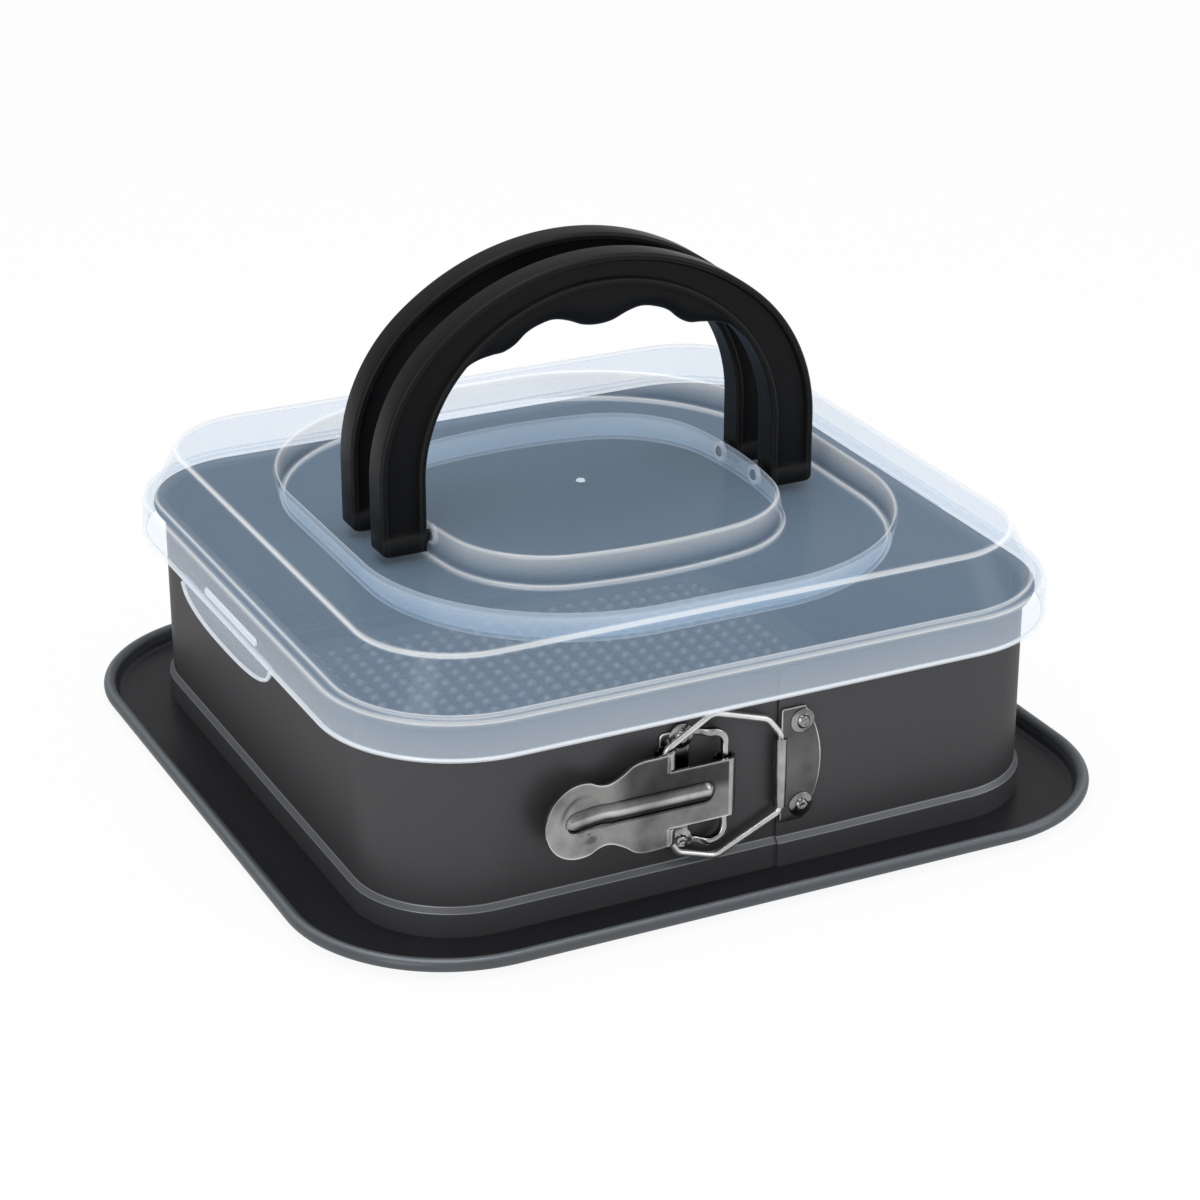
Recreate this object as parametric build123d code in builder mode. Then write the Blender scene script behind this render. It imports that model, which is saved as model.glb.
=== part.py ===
from build123d import *
import math
import os

os.makedirs("parts", exist_ok=True)

# Frame: origin at the centre of the underside, X along the latch side, Y away from it, Z up, millimetres.

# Ring of sheet steel
ringHalfX = 120.0
ringHalfY = 117.6
ringCorner = 34.0
ringSheet = 1.0
footProud = 1.5
footTop = 9.4
footSlope = 1.7
rimRadius = 2.4
rimOut = 1.3
lapStep = 0.8
lapX = 12.8
lapFlat = 34.0
lapEnd = 84.0

# Base tray
traySheet = 1.0
trayHalfX = 144.8
trayHalfY = 142.4
trayCorner = 56.0
trayLip = 2.2
trayLipZ = 4.2
ridgeGap = 0.6
ridgeWidth = 7.0
ridgeTop = 6.0

# Cover moulding
coverWall = 1.5
skirtHalfX = 128.9
skirtHalfY = 126.5
skirtCorner = 48.0
skirtBottom = 65.0
ledgeTop = 78.65
domeHalfX = 124.4
domeHalfY = 122.0
domeCorner = 42.0
domeDraft = 24.6
domeTop = 95.7
domeRound = 4.0
ledgeEdge = 1.2
recessHalfX = 93.3
recessHalfY = 104.6
recessCorner = 72.0
recessFloor = 85.7
recessDraft = 10.0
plateauHalfX = 62.4
plateauHalfY = 61.1
plateauSide = 162.0
plateauCorner = 38.0
coverSeat = 0.1
tabOutline = ((-37.0, 66.4), (-24.0, 58.2), (-13.0, 56.2), (34.0, 56.2), (44.0, 59.0), (47.0, 63.0), (41.0, 66.4))
tabSheet = 1.9
tabSink = 0.4
tabRibLength = 48.0
tabRibWidth = 2.6
tabRibProud = 1.5
tabRibZ = 71.0
tabRibY = -2.5

# Handles
handleSpanX = 81.0
handleInnerX = 64.7
handleThick = 10.8
handleMidY = 12.6
footGap = 2.5
footRound = 2.2
legRise = 23.8
archRise = 69.0
archInnerRise = 58.0
gripHalf = 54.0
gripRise = 32.5
gripLow = 44.4
gripHigh = 47.2
gripPitch = 16.5
gripShoulder = 40.4
gripWave = 1.6
panelRim = 2.1
panelDepth = 1.8
panelFoot = 6.0
pivotRise = 3.4
studRadius = 2.0
studPlay = 0.05
studInside = 2.3
bossRadius = 3.3
bossGap = 0.3

# Latch, outlines given from the latch's middle height
latchZ = 37.0
keeperX = 12.5
keeperSheet = 1.0
keeperHalf = 20.3
keeperEdge = 9.5
keeperBulge = 15.7
keeperRivetOut = 8.5
keeperRivetZ = 15.0
knuckleLow = 13.0
knuckleLength = 24.2
bailRadius = 1.1
bailPlay = 0.06
bailBends = ((0.0, 12.5), (5.0, 19.0), (25.0, 25.6), (42.0, 16.0), (42.0, -13.5), (37.0, -21.1), (23.5, -25.6), (0.0, -15.2))
bailRest = 0.15
bracketSheet = 1.0
bracketLeft = 21.8
bracketHalf = 20.5
bracketStep = 4.0
loopFlat = 4.4
loopRound = 6.0
windowWidth = 8.0
windowHalf = 10.8
bracketRivetIn = 14.3
bracketRivetZ = 18.5
hingeX = -8.2
hingeStand = 3.7
hingeRadius = 1.3
hingePlay = 0.05
leverSheet = 1.1
armHalf = 10.0
shoulderHalf = 16.2
shoulderNear = 18.8
shoulderFar = 30.3
waist = ((37.3, 12.7), (42.8, 10.4))
thumbNear = 48.3
thumbHalf = 12.2
leverReach = 65.3
ribMiddle = 31.1
ribLength = 51.0
ribWidth = 6.0
ribProud = 1.3
tabWidth = 3.4
tabDrop = 2.1
rivetHead = 4.3
rivetCrown = 2.6
rivetDome = 1.2
rivetShank = 1.9
rivetTail = 0.7

handleFoot = recessFloor + footGap
archBase = handleFoot + legRise
pivotZ = handleFoot + pivotRise
wallFront = -ringHalfY
lapFront = wallFront - lapStep
hingeY = wallFront - hingeStand
rimZ = ledgeTop - coverWall - coverSeat - rimRadius
keeperY = lapFront - keeperSheet - bailRadius - bailPlay
hingeBore = hingeRadius + hingePlay
knuckleRadius = hingeBore + leverSheet
leverRear = hingeY - hingeBore
bracketX = hingeX - bracketRivetIn
keeperRivetX = keeperX + keeperRivetOut


def roundedPath(halfX, halfY, corner):
    """Closed wire of four sides and four corner arcs at height zero, starting in the middle of the +X side."""
    with BuildLine(Plane.XY) as path:
        roundedWire(halfX, halfY, corner)
    return path


def roundedWire(halfX, halfY, corner):
    """Four sides and four corner arcs drawn into the open line block."""
    cx = halfX - corner
    cy = halfY - corner
    Line((halfX, 0), (halfX, cy))
    CenterArc((cx, cy), corner, 0, 90)
    Line((cx, halfY), (-cx, halfY))
    CenterArc((-cx, cy), corner, 90, 90)
    Line((-halfX, cy), (-halfX, -cy))
    CenterArc((-cx, -cy), corner, 180, 90)
    Line((-cx, -halfY), (cx, -halfY))
    CenterArc((cx, -cy), corner, 270, 90)
    Line((halfX, -cy), (halfX, 0))


def bowedOutline(halfX, halfY, side, corner):
    """Closed outline of four bowed sides of one radius joined by tangent corner arcs."""
    sideX = halfX - side
    sideY = halfY - side
    reach = side - corner
    span = math.hypot(sideX, sideY)
    rise = math.sqrt(reach * reach - span * span / 4)
    px = sideX / 2 - sideY / span * rise
    py = sideY / 2 - sideX / span * rise
    low = math.degrees(math.atan2(py, px - sideX))
    high = math.degrees(math.atan2(py - sideY, px))
    CenterArc((sideX, 0), side, -low, 2 * low)
    CenterArc((px, py), corner, low, high - low)
    CenterArc((0, sideY), side, high, 2 * (90 - high))
    CenterArc((-px, py), corner, 180 - high, high - low)
    CenterArc((-sideX, 0), side, 180 - low, 2 * low)
    CenterArc((-px, -py), corner, 180 + low, high - low)
    CenterArc((0, -sideY), side, 180 + high, 2 * (90 - high))
    CenterArc((px, -py), corner, 360 - high, high - low)


def rivet(x, z, face, inside):
    """Domed rivet through a sheet: face is the Y of the outer surface, inside the Y of the inner one."""
    with BuildPart() as one:
        with BuildSketch(Plane.XY):
            with BuildLine():
                dome = [(0, face - rivetDome), (rivetCrown, face - rivetDome), (rivetHead, face)]
                shank = [(rivetShank, face), (rivetShank, inside)]
                tail = [(rivetHead, inside), (rivetHead - rivetTail, inside + rivetTail), (0, inside + rivetTail)]
                Polyline(*dome, *shank, *tail, close=True)
            make_face()
        revolve(axis=Axis.Y)
    return one.part.move(Location((x, 0, z)))


# Base tray: flat sheet with a pressed locating ridge and a rolled outer lip
lipX = trayHalfX - trayLip
lipY = trayHalfY - trayLip
lipCorner = trayCorner - trayLip
ridgeX = ringHalfX + footProud - ringSheet - ridgeGap
ridgeY = ringHalfY + footProud - ringSheet - ridgeGap
ridgeCorner = ringCorner
with BuildPart() as base_tray:
    with BuildSketch(Plane.XY):
        RectangleRounded(2 * (lipX - 3.4), 2 * (lipY - 3.4), lipCorner - 3.4)
    extrude(amount=traySheet)
    with BuildSketch(Plane.XZ):
        with BuildLine():
            under = [(lipX - 4.2, 0), (lipX - 3.0, 0), (lipX - 1.6, 1.2), (lipX - 0.4, trayLipZ)]
            over = [(lipX - 1.4, trayLipZ + 0.6), (lipX - 3.4, traySheet), (lipX - 4.2, traySheet)]
            Polyline(*under, *over, close=True)
        make_face()
        with Locations((lipX, trayLipZ)):
            RegularPolygon(trayLip, 8, major_radius=False, rotation=22.5)
    sweep(path=roundedPath(lipX, lipY, lipCorner).wire())
    with BuildSketch(Plane.XY):
        RectangleRounded(2 * ridgeX, 2 * ridgeY, ridgeCorner)
        inset = ridgeWidth
        RectangleRounded(2 * (ridgeX - inset), 2 * (ridgeY - inset), ridgeCorner - inset, mode=Mode.SUBTRACT)
    extrude(amount=ridgeTop)
    with BuildSketch(Plane.XY):
        RectangleRounded(2 * (ridgeX - traySheet), 2 * (ridgeY - traySheet), ridgeCorner - traySheet)
        inset = ridgeWidth - traySheet
        RectangleRounded(2 * (ridgeX - inset), 2 * (ridgeY - inset), ridgeCorner - inset, mode=Mode.SUBTRACT)
    extrude(amount=ridgeTop - traySheet, mode=Mode.SUBTRACT)
base_tray.part.label = "base_tray"
export_step(base_tray.part, "parts/base_tray.step")


def ringSection(out):
    """Section of the ring's sheet from foot to rim, out is the distance from the ring's middle to its outer face."""
    inner = out - ringSheet
    outside = [(out + footProud, traySheet), (out + footProud, footTop), (out, footTop + footSlope), (out, rimZ)]
    inside = [(inner, rimZ), (inner, footTop + footSlope), (inner + footProud, footTop), (inner + footProud, traySheet)]
    Polyline(*outside, *inside, close=True)


def lapSection(shift):
    """Section of the lapping end in front of the ring's face, shift is how far it has run back into the face."""
    proud = wallFront - lapStep + shift
    top = rimZ - rimRadius - 0.6
    front = [(proud - footProud, traySheet), (proud - footProud, footTop), (proud, footTop + footSlope), (proud, top)]
    back = [(y + lapStep + 0.2, z) for y, z in reversed(front)]
    Polyline(*front, *back, close=True)


# Ring: one sheet with a stepped foot, a rolled rim and a lap at the front
with BuildPart() as springform_ring:
    with BuildSketch(Plane.XZ):
        with BuildLine():
            ringSection(ringHalfX)
        make_face()
        with Locations((ringHalfX + rimOut, rimZ)):
            RegularPolygon(rimRadius, 8, major_radius=False, rotation=22.5)
    sweep(path=roundedPath(ringHalfX, ringHalfY, ringCorner).wire())
    for at, to in ((lapX, lapFlat), (lapFlat, lapEnd)):
        with BuildSketch(Plane.YZ.offset(at)):
            with BuildLine():
                lapSection(0.0)
            make_face()
        with BuildSketch(Plane.YZ.offset(to)):
            with BuildLine():
                lapSection(0.0 if to == lapFlat else lapStep - 0.02)
            make_face()
        loft(ruled=True)
    with BuildSketch(Plane.XZ.offset(-wallFront - 2 * ringSheet)):
        for dz in (-1, 1):
            with Locations((keeperRivetX, latchZ + dz * keeperRivetZ), (bracketX, latchZ + dz * bracketRivetZ)):
                Circle(rivetShank)
    extrude(amount=4 * ringSheet, mode=Mode.SUBTRACT)
springform_ring.part.label = "springform_ring"
export_step(springform_ring.part, "parts/springform_ring.step")

# Bracket: flat left end on the ring, right end stepped out as a rounded loop with a hinge bar
loopFront = hingeY - bracketSheet / 2
loopRear = loopFront + bracketSheet
plateFront = wallFront - bracketSheet
leftX = hingeX - bracketLeft
stepX = hingeX - loopFlat
with BuildPart() as latch_bracket:
    with BuildSketch(Plane.XY.offset(latchZ - bracketHalf)):
        with BuildLine():
            rear = [(leftX, wallFront), (stepX - bracketStep, wallFront), (stepX, loopRear), (hingeX, loopRear)]
            front = [(hingeX, loopFront), (stepX, loopFront), (stepX - bracketStep, plateFront), (leftX, plateFront)]
            Polyline(*rear, *front, close=True)
        make_face()
    extrude(amount=2 * bracketHalf)
    with BuildSketch(Plane.XZ.offset(-wallFront)):
        with Locations(((leftX + hingeX) / 2, latchZ)):
            RectangleRounded(bracketLeft, 2 * bracketHalf, loopRound)
            with Locations((-bracketLeft / 4, 0)):
                RectangleRounded(bracketLeft / 2, 2 * bracketHalf, 2 * bracketSheet)
    extrude(amount=hingeStand + bracketSheet, mode=Mode.INTERSECT)
    with BuildSketch(Plane.XZ.offset(-wallFront)):
        with Locations((hingeX, latchZ)):
            Rectangle(2 * windowWidth, 2 * windowHalf)
    extrude(amount=hingeStand + bracketSheet, mode=Mode.SUBTRACT)
    with Locations((hingeX, hingeY, latchZ)):
        Cylinder(hingeRadius, 2 * windowHalf + 2 * bracketSheet)
    with BuildSketch(Plane.XZ.offset(-wallFront)):
        for dz in (-1, 1):
            with Locations((bracketX, latchZ + dz * bracketRivetZ)):
                Circle(rivetShank)
    extrude(amount=bracketSheet, mode=Mode.SUBTRACT)
latch_bracket.part.label = "latch_bracket"
export_step(latch_bracket.part, "parts/latch_bracket.step")

# Keeper plate: D-shaped, its left edge rolled round the bail's bar
plateX = keeperX + bailRadius + bailPlay + keeperSheet / 2
knuckleMiddle = latchZ - knuckleLow + knuckleLength / 2
with BuildPart() as keeper_plate:
    with BuildSketch(Plane.XZ.offset(-lapFront)):
        with BuildLine():
            low = (keeperX + keeperEdge, latchZ - keeperHalf)
            high = (keeperX + keeperEdge, latchZ + keeperHalf)
            Polyline(low, (plateX, latchZ - keeperHalf), (plateX, latchZ + keeperHalf), high)
            ThreePointArc(high, (keeperX + keeperBulge, latchZ), low)
        make_face()
        with Locations(((keeperX + plateX) / 2, knuckleMiddle)):
            Rectangle(plateX - keeperX + keeperSheet / 2, knuckleLength)
        for dz in (-1, 1):
            with Locations((keeperRivetX, latchZ + dz * keeperRivetZ)):
                Circle(rivetShank, mode=Mode.SUBTRACT)
    extrude(amount=keeperSheet)
    with Locations((keeperX, keeperY, knuckleMiddle)):
        Cylinder(bailRadius + bailPlay + keeperSheet, knuckleLength)
        Cylinder(bailRadius + bailPlay, knuckleLength + keeperSheet, mode=Mode.SUBTRACT)
keeper_plate.part.label = "keeper_plate"
export_step(keeper_plate.part, "parts/keeper_plate.step")

# Rivets
wallInside = wallFront + ringSheet
rivetPlaces = {
    "upper_keeper_rivet": (keeperRivetX, latchZ + keeperRivetZ, lapFront - keeperSheet),
    "lower_keeper_rivet": (keeperRivetX, latchZ - keeperRivetZ, lapFront - keeperSheet),
    "upper_bracket_rivet": (bracketX, latchZ + bracketRivetZ, wallFront - bracketSheet),
    "lower_bracket_rivet": (bracketX, latchZ - bracketRivetZ, wallFront - bracketSheet),
}
for label, (x, z, face) in rivetPlaces.items():
    with BuildPart() as oneRivet:
        add(rivet(x, z, face, wallInside))
    oneRivet.part.label = label
    export_step(oneRivet.part, "parts/" + label + ".step")

# Bail: wire loop, its right bar in the keeper's knuckle, its left bar behind the lever's shoulders
bailReach = max(u for u, v in bailBends)
bailBarY = leverRear + bailRadius + bailRest
bailTurn = math.asin((keeperY - bailBarY) / bailReach)
bailAlong = (-math.cos(bailTurn), -math.sin(bailTurn), 0)
bailPlane = Plane(origin=(keeperX, keeperY, latchZ), x_dir=bailAlong, z_dir=(-math.sin(bailTurn), math.cos(bailTurn), 0))
with BuildPart() as latch_bail:
    with BuildLine(bailPlane) as bailPath:
        Polyline((0, 0), *bailBends, close=True)
    with BuildSketch(Plane.XY.offset(latchZ)):
        with Locations((keeperX, keeperY)):
            Circle(bailRadius)
    sweep(path=bailPath.wire(), transition=Transition.RIGHT)
latch_bail.part.label = "latch_bail"
export_step(latch_bail.part, "parts/latch_bail.step")

# Lever: stamped plate with a knuckle round the hinge bar, shoulders with stop tabs, a pressed rib and a thumb end
leverPlane = Plane(origin=(hingeX, leverRear, latchZ), x_dir=(1, 0, 0), z_dir=(0, -1, 0))
with BuildPart() as latch_lever:
    with BuildSketch(leverPlane):
        with BuildLine():
            for side in (1, -1):
                corner = (-shoulderFar, side * shoulderHalf)
                arm = [(0, 0), (0, side * armHalf), (-shoulderNear, side * armHalf)]
                Polyline(*arm, (-shoulderNear, side * shoulderHalf), corner)
                necks = [(-x, side * z) for x, z in waist]
                thumb = (-thumbNear, side * thumbHalf)
                Spline(corner, *necks, thumb, tangents=((-1, 0), (-3, side)))
            ThreePointArc((-thumbNear, thumbHalf), (-leverReach, 0), (-thumbNear, -thumbHalf))
        make_face()
    extrude(amount=leverSheet)
    with BuildSketch(leverPlane.offset(leverSheet)):
        with Locations((-ribMiddle, 0)):
            SlotOverall(ribLength, ribWidth)
    extrude(amount=ribProud, taper=30)
    with BuildSketch(leverPlane):
        with Locations((-ribMiddle, 0)):
            SlotOverall(ribLength - 2 * leverSheet, ribWidth - 2 * leverSheet)
    extrude(amount=ribProud, taper=20, mode=Mode.SUBTRACT)
    with BuildSketch(leverPlane):
        for side in (1, -1):
            with Locations((-shoulderNear - leverSheet / 2, side * (armHalf + leverSheet - tabWidth / 2))):
                Rectangle(leverSheet, tabWidth)
    extrude(amount=-tabDrop)
    with Locations((hingeX, hingeY, latchZ)):
        Cylinder(knuckleRadius, 2 * armHalf)
        Cylinder(hingeBore, 2 * armHalf + leverSheet, mode=Mode.SUBTRACT)
latch_lever.part.label = "latch_lever"
export_step(latch_lever.part, "parts/latch_lever.step")


def coverForm(inset):
    """Solid form of the cover, inset by a wall thickness for the inside."""
    with BuildPart() as form:
        with BuildSketch(Plane.XY.offset(skirtBottom - inset)):
            RectangleRounded(2 * (skirtHalfX - inset), 2 * (skirtHalfY - inset), skirtCorner - inset)
        extrude(amount=ledgeTop - skirtBottom)
        chamfer(form.edges().group_by(Axis.Z)[-1], ledgeEdge)
        with BuildSketch(Plane.XY.offset(ledgeTop - inset)):
            RectangleRounded(2 * (domeHalfX - inset), 2 * (domeHalfY - inset), domeCorner - inset)
        extrude(amount=domeTop - ledgeTop, taper=domeDraft)
        if inset > 0:
            chamfer(form.edges().group_by(Axis.Z)[-1], domeRound / 2)
        else:
            fillet(form.edges().group_by(Axis.Z)[-1], domeRound)
        with BuildSketch(Plane.XY.offset(domeTop - inset)):
            RectangleRounded(2 * (recessHalfX + inset), 2 * (recessHalfY + inset), recessCorner + inset)
        extrude(amount=recessFloor - domeTop, taper=recessDraft, mode=Mode.SUBTRACT)
        flare = (domeTop - recessFloor) * math.tan(math.radians(recessDraft)) - inset
        with BuildSketch(Plane.XY.offset(recessFloor - inset)):
            with BuildLine():
                bowedOutline(plateauHalfX + flare, plateauHalfY + flare, plateauSide + flare, plateauCorner + flare)
            make_face()
        extrude(amount=domeTop - recessFloor, taper=recessDraft)
    return form.part


# Cover: one moulding of even wall with two lift tabs and the handles' pivot holes
coverInside = coverForm(coverWall)
with BuildPart() as cover:
    add(coverForm(0.0))
    add(coverInside, mode=Mode.SUBTRACT)
    for side in (1, -1):
        with BuildSketch(Plane.YZ.offset(side * (skirtHalfX - tabSink))):
            with BuildLine():
                Polyline(*tabOutline, close=True)
            make_face()
        extrude(amount=side * tabSheet)
        with BuildSketch(Plane.YZ.offset(side * (skirtHalfX - tabSink))):
            with Locations((tabRibY, tabRibZ)):
                SlotOverall(tabRibLength, tabRibWidth)
        extrude(amount=side * tabRibProud)
        with BuildSketch(Plane.YZ.offset(side * (plateauHalfX - 2 * coverWall))):
            with Locations((-handleMidY, pivotZ), (handleMidY, pivotZ)):
                Circle(studRadius + studPlay)
        extrude(amount=side * 5 * coverWall, mode=Mode.SUBTRACT)
cover.part.label = "cover"
export_step(cover.part, "parts/cover.step")


def archFace(halfX, rise, bottom):
    """Outline of an arch filled down to its foot line: straight legs and a three-centred arch."""
    span = math.hypot(halfX, rise)
    sideRadius = (span - halfX + rise) * span / (2 * halfX)
    topRadius = (span + halfX - rise) * span / (2 * rise)
    low = math.degrees(math.atan2(topRadius - rise, halfX - sideRadius))
    Line((halfX, bottom), (halfX, archBase))
    CenterArc((halfX - sideRadius, archBase), sideRadius, 0, low)
    CenterArc((0, archBase + rise - topRadius), topRadius, low, 180 - 2 * low)
    CenterArc((sideRadius - halfX, archBase), sideRadius, 180 - low, low)
    Line((-halfX, archBase), (-halfX, bottom))
    Line((-halfX, bottom), (halfX, bottom))


def gripFace():
    """Finger grip under the arch: waves of shallow arcs between two sloping shoulders, closed inside the arch."""
    low = archBase + gripLow
    high = archBase + gripHigh
    crest = archBase + archInnerRise + panelRim / 2
    for side in (1, -1):
        end = (side * gripHalf, archBase + gripRise)
        back = (side * gripHalf, archBase + archInnerRise * 0.6)
        shoulder = (side * 2.5 * gripPitch, archBase + gripShoulder)
        dip = (side * 2 * gripPitch, low - gripWave)
        flank = (side * gripPitch / 2, high - gripWave)
        Polyline(back, end, shoulder, dip)
        ThreePointArc(dip, (side * gripPitch, high), flank)
        ThreePointArc(flank, (side * gripPitch / 4, low + gripWave / 4), (0, low))
        Line(back, (side * gripHalf / 2, crest))
    Line((-gripHalf / 2, crest), (gripHalf / 2, crest))


def handle(side):
    """Arched handle standing in the XZ plane, side is the sign of its Y."""
    middle = side * handleMidY
    face = Plane.XZ.offset(-middle - handleThick / 2)
    with BuildPart() as arch:
        with BuildSketch(face):
            with BuildLine():
                archFace(handleSpanX, archRise, handleFoot)
            make_face()
            with BuildLine():
                archFace(handleInnerX, archInnerRise, handleFoot)
            make_face(mode=Mode.SUBTRACT)
        extrude(amount=handleThick)
        foot = arch.edges().filter_by(Axis.X).group_by(Axis.Z)[0]
        fillet(foot, footRound)
        with BuildSketch(face):
            with BuildLine():
                gripFace()
            make_face()
        extrude(amount=handleThick)
        for dy in (0.0, handleThick - panelDepth):
            with BuildSketch(face.offset(dy)):
                with BuildLine():
                    archFace(handleSpanX - panelRim, archRise - panelRim, handleFoot + panelFoot)
                make_face()
                with BuildLine():
                    archFace(handleInnerX + panelRim, archInnerRise + panelRim, handleFoot + panelFoot)
                make_face(mode=Mode.SUBTRACT)
            extrude(amount=panelDepth, mode=Mode.SUBTRACT)
        bossInner = plateauHalfX + (domeTop - pivotZ) * math.tan(math.radians(recessDraft)) + bossGap
        studInner = plateauHalfX - coverWall - studInside / 2
        for end in (1, -1):
            with BuildSketch(Plane.YZ.offset(end * (handleInnerX + panelRim / 4))):
                with Locations((middle, pivotZ)):
                    Circle(bossRadius)
            extrude(amount=-end * (handleInnerX + panelRim / 4 - bossInner))
            with BuildSketch(Plane.YZ.offset(end * (handleInnerX + panelRim / 4))):
                with Locations((middle, pivotZ)):
                    Circle(studRadius)
            extrude(amount=-end * (handleInnerX + panelRim / 4 - studInner))
    return arch.part


# Handles: two equal arches, front and rear
for label, side in (("front_handle", -1), ("rear_handle", 1)):
    with BuildPart() as oneHandle:
        add(handle(side))
    oneHandle.part.label = label
    export_step(oneHandle.part, "parts/" + label + ".step")
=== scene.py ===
import math

import bpy
import numpy as np
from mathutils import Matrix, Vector


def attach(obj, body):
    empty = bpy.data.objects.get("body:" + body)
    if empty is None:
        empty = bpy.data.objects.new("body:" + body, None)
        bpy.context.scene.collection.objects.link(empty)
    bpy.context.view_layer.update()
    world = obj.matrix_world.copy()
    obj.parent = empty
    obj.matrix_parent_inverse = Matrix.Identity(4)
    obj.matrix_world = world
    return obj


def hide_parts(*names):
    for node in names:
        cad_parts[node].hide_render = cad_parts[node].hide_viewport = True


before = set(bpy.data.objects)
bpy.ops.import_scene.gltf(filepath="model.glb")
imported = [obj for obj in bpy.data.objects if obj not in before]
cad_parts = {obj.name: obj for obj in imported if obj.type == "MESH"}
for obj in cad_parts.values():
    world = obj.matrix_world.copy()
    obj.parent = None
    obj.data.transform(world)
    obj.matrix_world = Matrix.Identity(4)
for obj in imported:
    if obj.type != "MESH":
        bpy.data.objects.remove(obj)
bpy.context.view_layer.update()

mm = 0.001
latchZ = 37.0
wallFront, lapFront = -117.6, -118.4
print("frame loaded:", len(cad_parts), "nodes")


def linked(name, data):
    item = bpy.data.objects.new(name, data)
    bpy.context.scene.collection.objects.link(item)
    return item


def unit(vectors):
    return vectors / np.linalg.norm(vectors, axis=1)[:, None]


def bell(distance, width):
    return np.exp(-(distance / width) ** 2)


def smoothStep(t):
    t = np.clip(t, 0, 1)
    return t * t * (3 - 2 * t)


def signedPower(values, power):
    return np.sign(values) * np.abs(values) ** power


def fullTurn(count):
    return np.linspace(0, 2 * math.pi, count, endpoint=False)


def laid(axis, origin, way=1):
    # placing for slab and turned: a and b run across the axis, depth runs along it, forwards or back
    def place(a, b, depth):
        spot = [a, b]
        spot.insert(axis, way * depth)
        return np.stack(spot, -1) + origin

    return place


def gridPart(points, closed=True, capStart=False, capEnd=False, closedRows=False, flip=None, tint=None):
    # points[row, column] in mm: columns run round the section, rows run along the form
    points = np.asarray(points, float)
    rows, columns = points.shape[:2]
    index = np.arange(rows * columns).reshape(rows, columns)
    caps = []
    if capStart:
        caps.append(index[0, ::-1])
    if capEnd:
        caps.append(index[-1])
    if closed:
        index = np.concatenate([index, index[:, :1]], axis=1)
    if closedRows:
        index = np.concatenate([index, index[:1]], axis=0)
    quads = np.stack([index[:-1, :-1], index[:-1, 1:], index[1:, 1:], index[1:, :-1]], axis=-1).reshape(-1, 4)
    flat = points.reshape(-1, 3)
    if flip is None:
        # a closed form whose signed volume is negative is inside out
        a, b, c, d = (flat[quads[:, k]] for k in range(4))
        volume = (a * np.cross(b, c)).sum() + (a * np.cross(c, d)).sum()
        for cap in caps:
            ring = flat[cap]
            volume += (ring[0] * np.cross(ring[1:-1], ring[2:])).sum()
        flip = volume < 0
    if flip:
        quads = quads[:, ::-1]
        caps = [cap[::-1] for cap in caps]
    # one tint for each row, or one for each point
    tint = np.zeros((rows, columns)) if tint is None else np.asarray(tint, float)
    tint = tint if tint.ndim == 2 else np.repeat(tint[:, None], columns, axis=1)
    return {"points": flat, "quads": quads, "caps": caps, "tint": tint.ravel()}


def makePiece(name, parts, sharpAngle=35):
    # several parts laid into one mesh, with the tint of each point kept as a point attribute; on metal and
    # black plastic that tint is painted highlight and painted shade, on the milky plastic it is partly haze
    # and partly painted highlight
    parts = [parts] if isinstance(parts, dict) else parts
    firsts = np.cumsum([0] + [len(part["points"]) for part in parts[:-1]])
    points = np.concatenate([part["points"] for part in parts]) * mm
    loops, sizes = [], []
    for first, part in zip(firsts, parts):
        loops.append(part["quads"].ravel() + first)
        sizes.append(np.full(len(part["quads"]), 4))
        for cap in part["caps"]:
            loops.append(cap + first)
            sizes.append(np.array([len(cap)]))
    loops, sizes = np.concatenate(loops), np.concatenate(sizes)
    mesh = bpy.data.meshes.new(name)
    mesh.vertices.add(len(points))
    mesh.vertices.foreach_set("co", points.ravel().astype(np.float32))
    mesh.loops.add(len(loops))
    mesh.loops.foreach_set("vertex_index", loops.astype(np.int32))
    mesh.polygons.add(len(sizes))
    mesh.polygons.foreach_set("loop_start", np.concatenate([[0], np.cumsum(sizes)[:-1]]).astype(np.int32))
    mesh.update(calc_edges=True)
    mesh.validate()
    hazeAndPaintedLight = mesh.attributes.new("hazeAndPaintedLightTint", "FLOAT", "POINT")
    hazeAndPaintedLight.data.foreach_set("value", np.concatenate([part["tint"] for part in parts]).astype(np.float32))
    mesh.shade_smooth()
    mesh.set_sharp_from_angle(angle=math.radians(sharpAngle))
    return linked(name, mesh)


def thicken(piece, wall, bevel=0.0):
    # wall in mm laid behind the face, with its cut edges rounded by bevel
    solid = piece.modifiers.new("wall", "SOLIDIFY")
    solid.thickness = wall * mm
    solid.offset = -1.0
    if bevel:
        soft = piece.modifiers.new("softEdge", "BEVEL")
        soft.width = bevel * mm
        soft.segments = 2
        soft.limit_method = "ANGLE"
        soft.angle_limit = math.radians(50)


def dress(piece, material, body, slot, *nodes):
    piece.data.materials.append(material)
    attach(piece, body)
    if nodes:
        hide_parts(*nodes)


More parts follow.
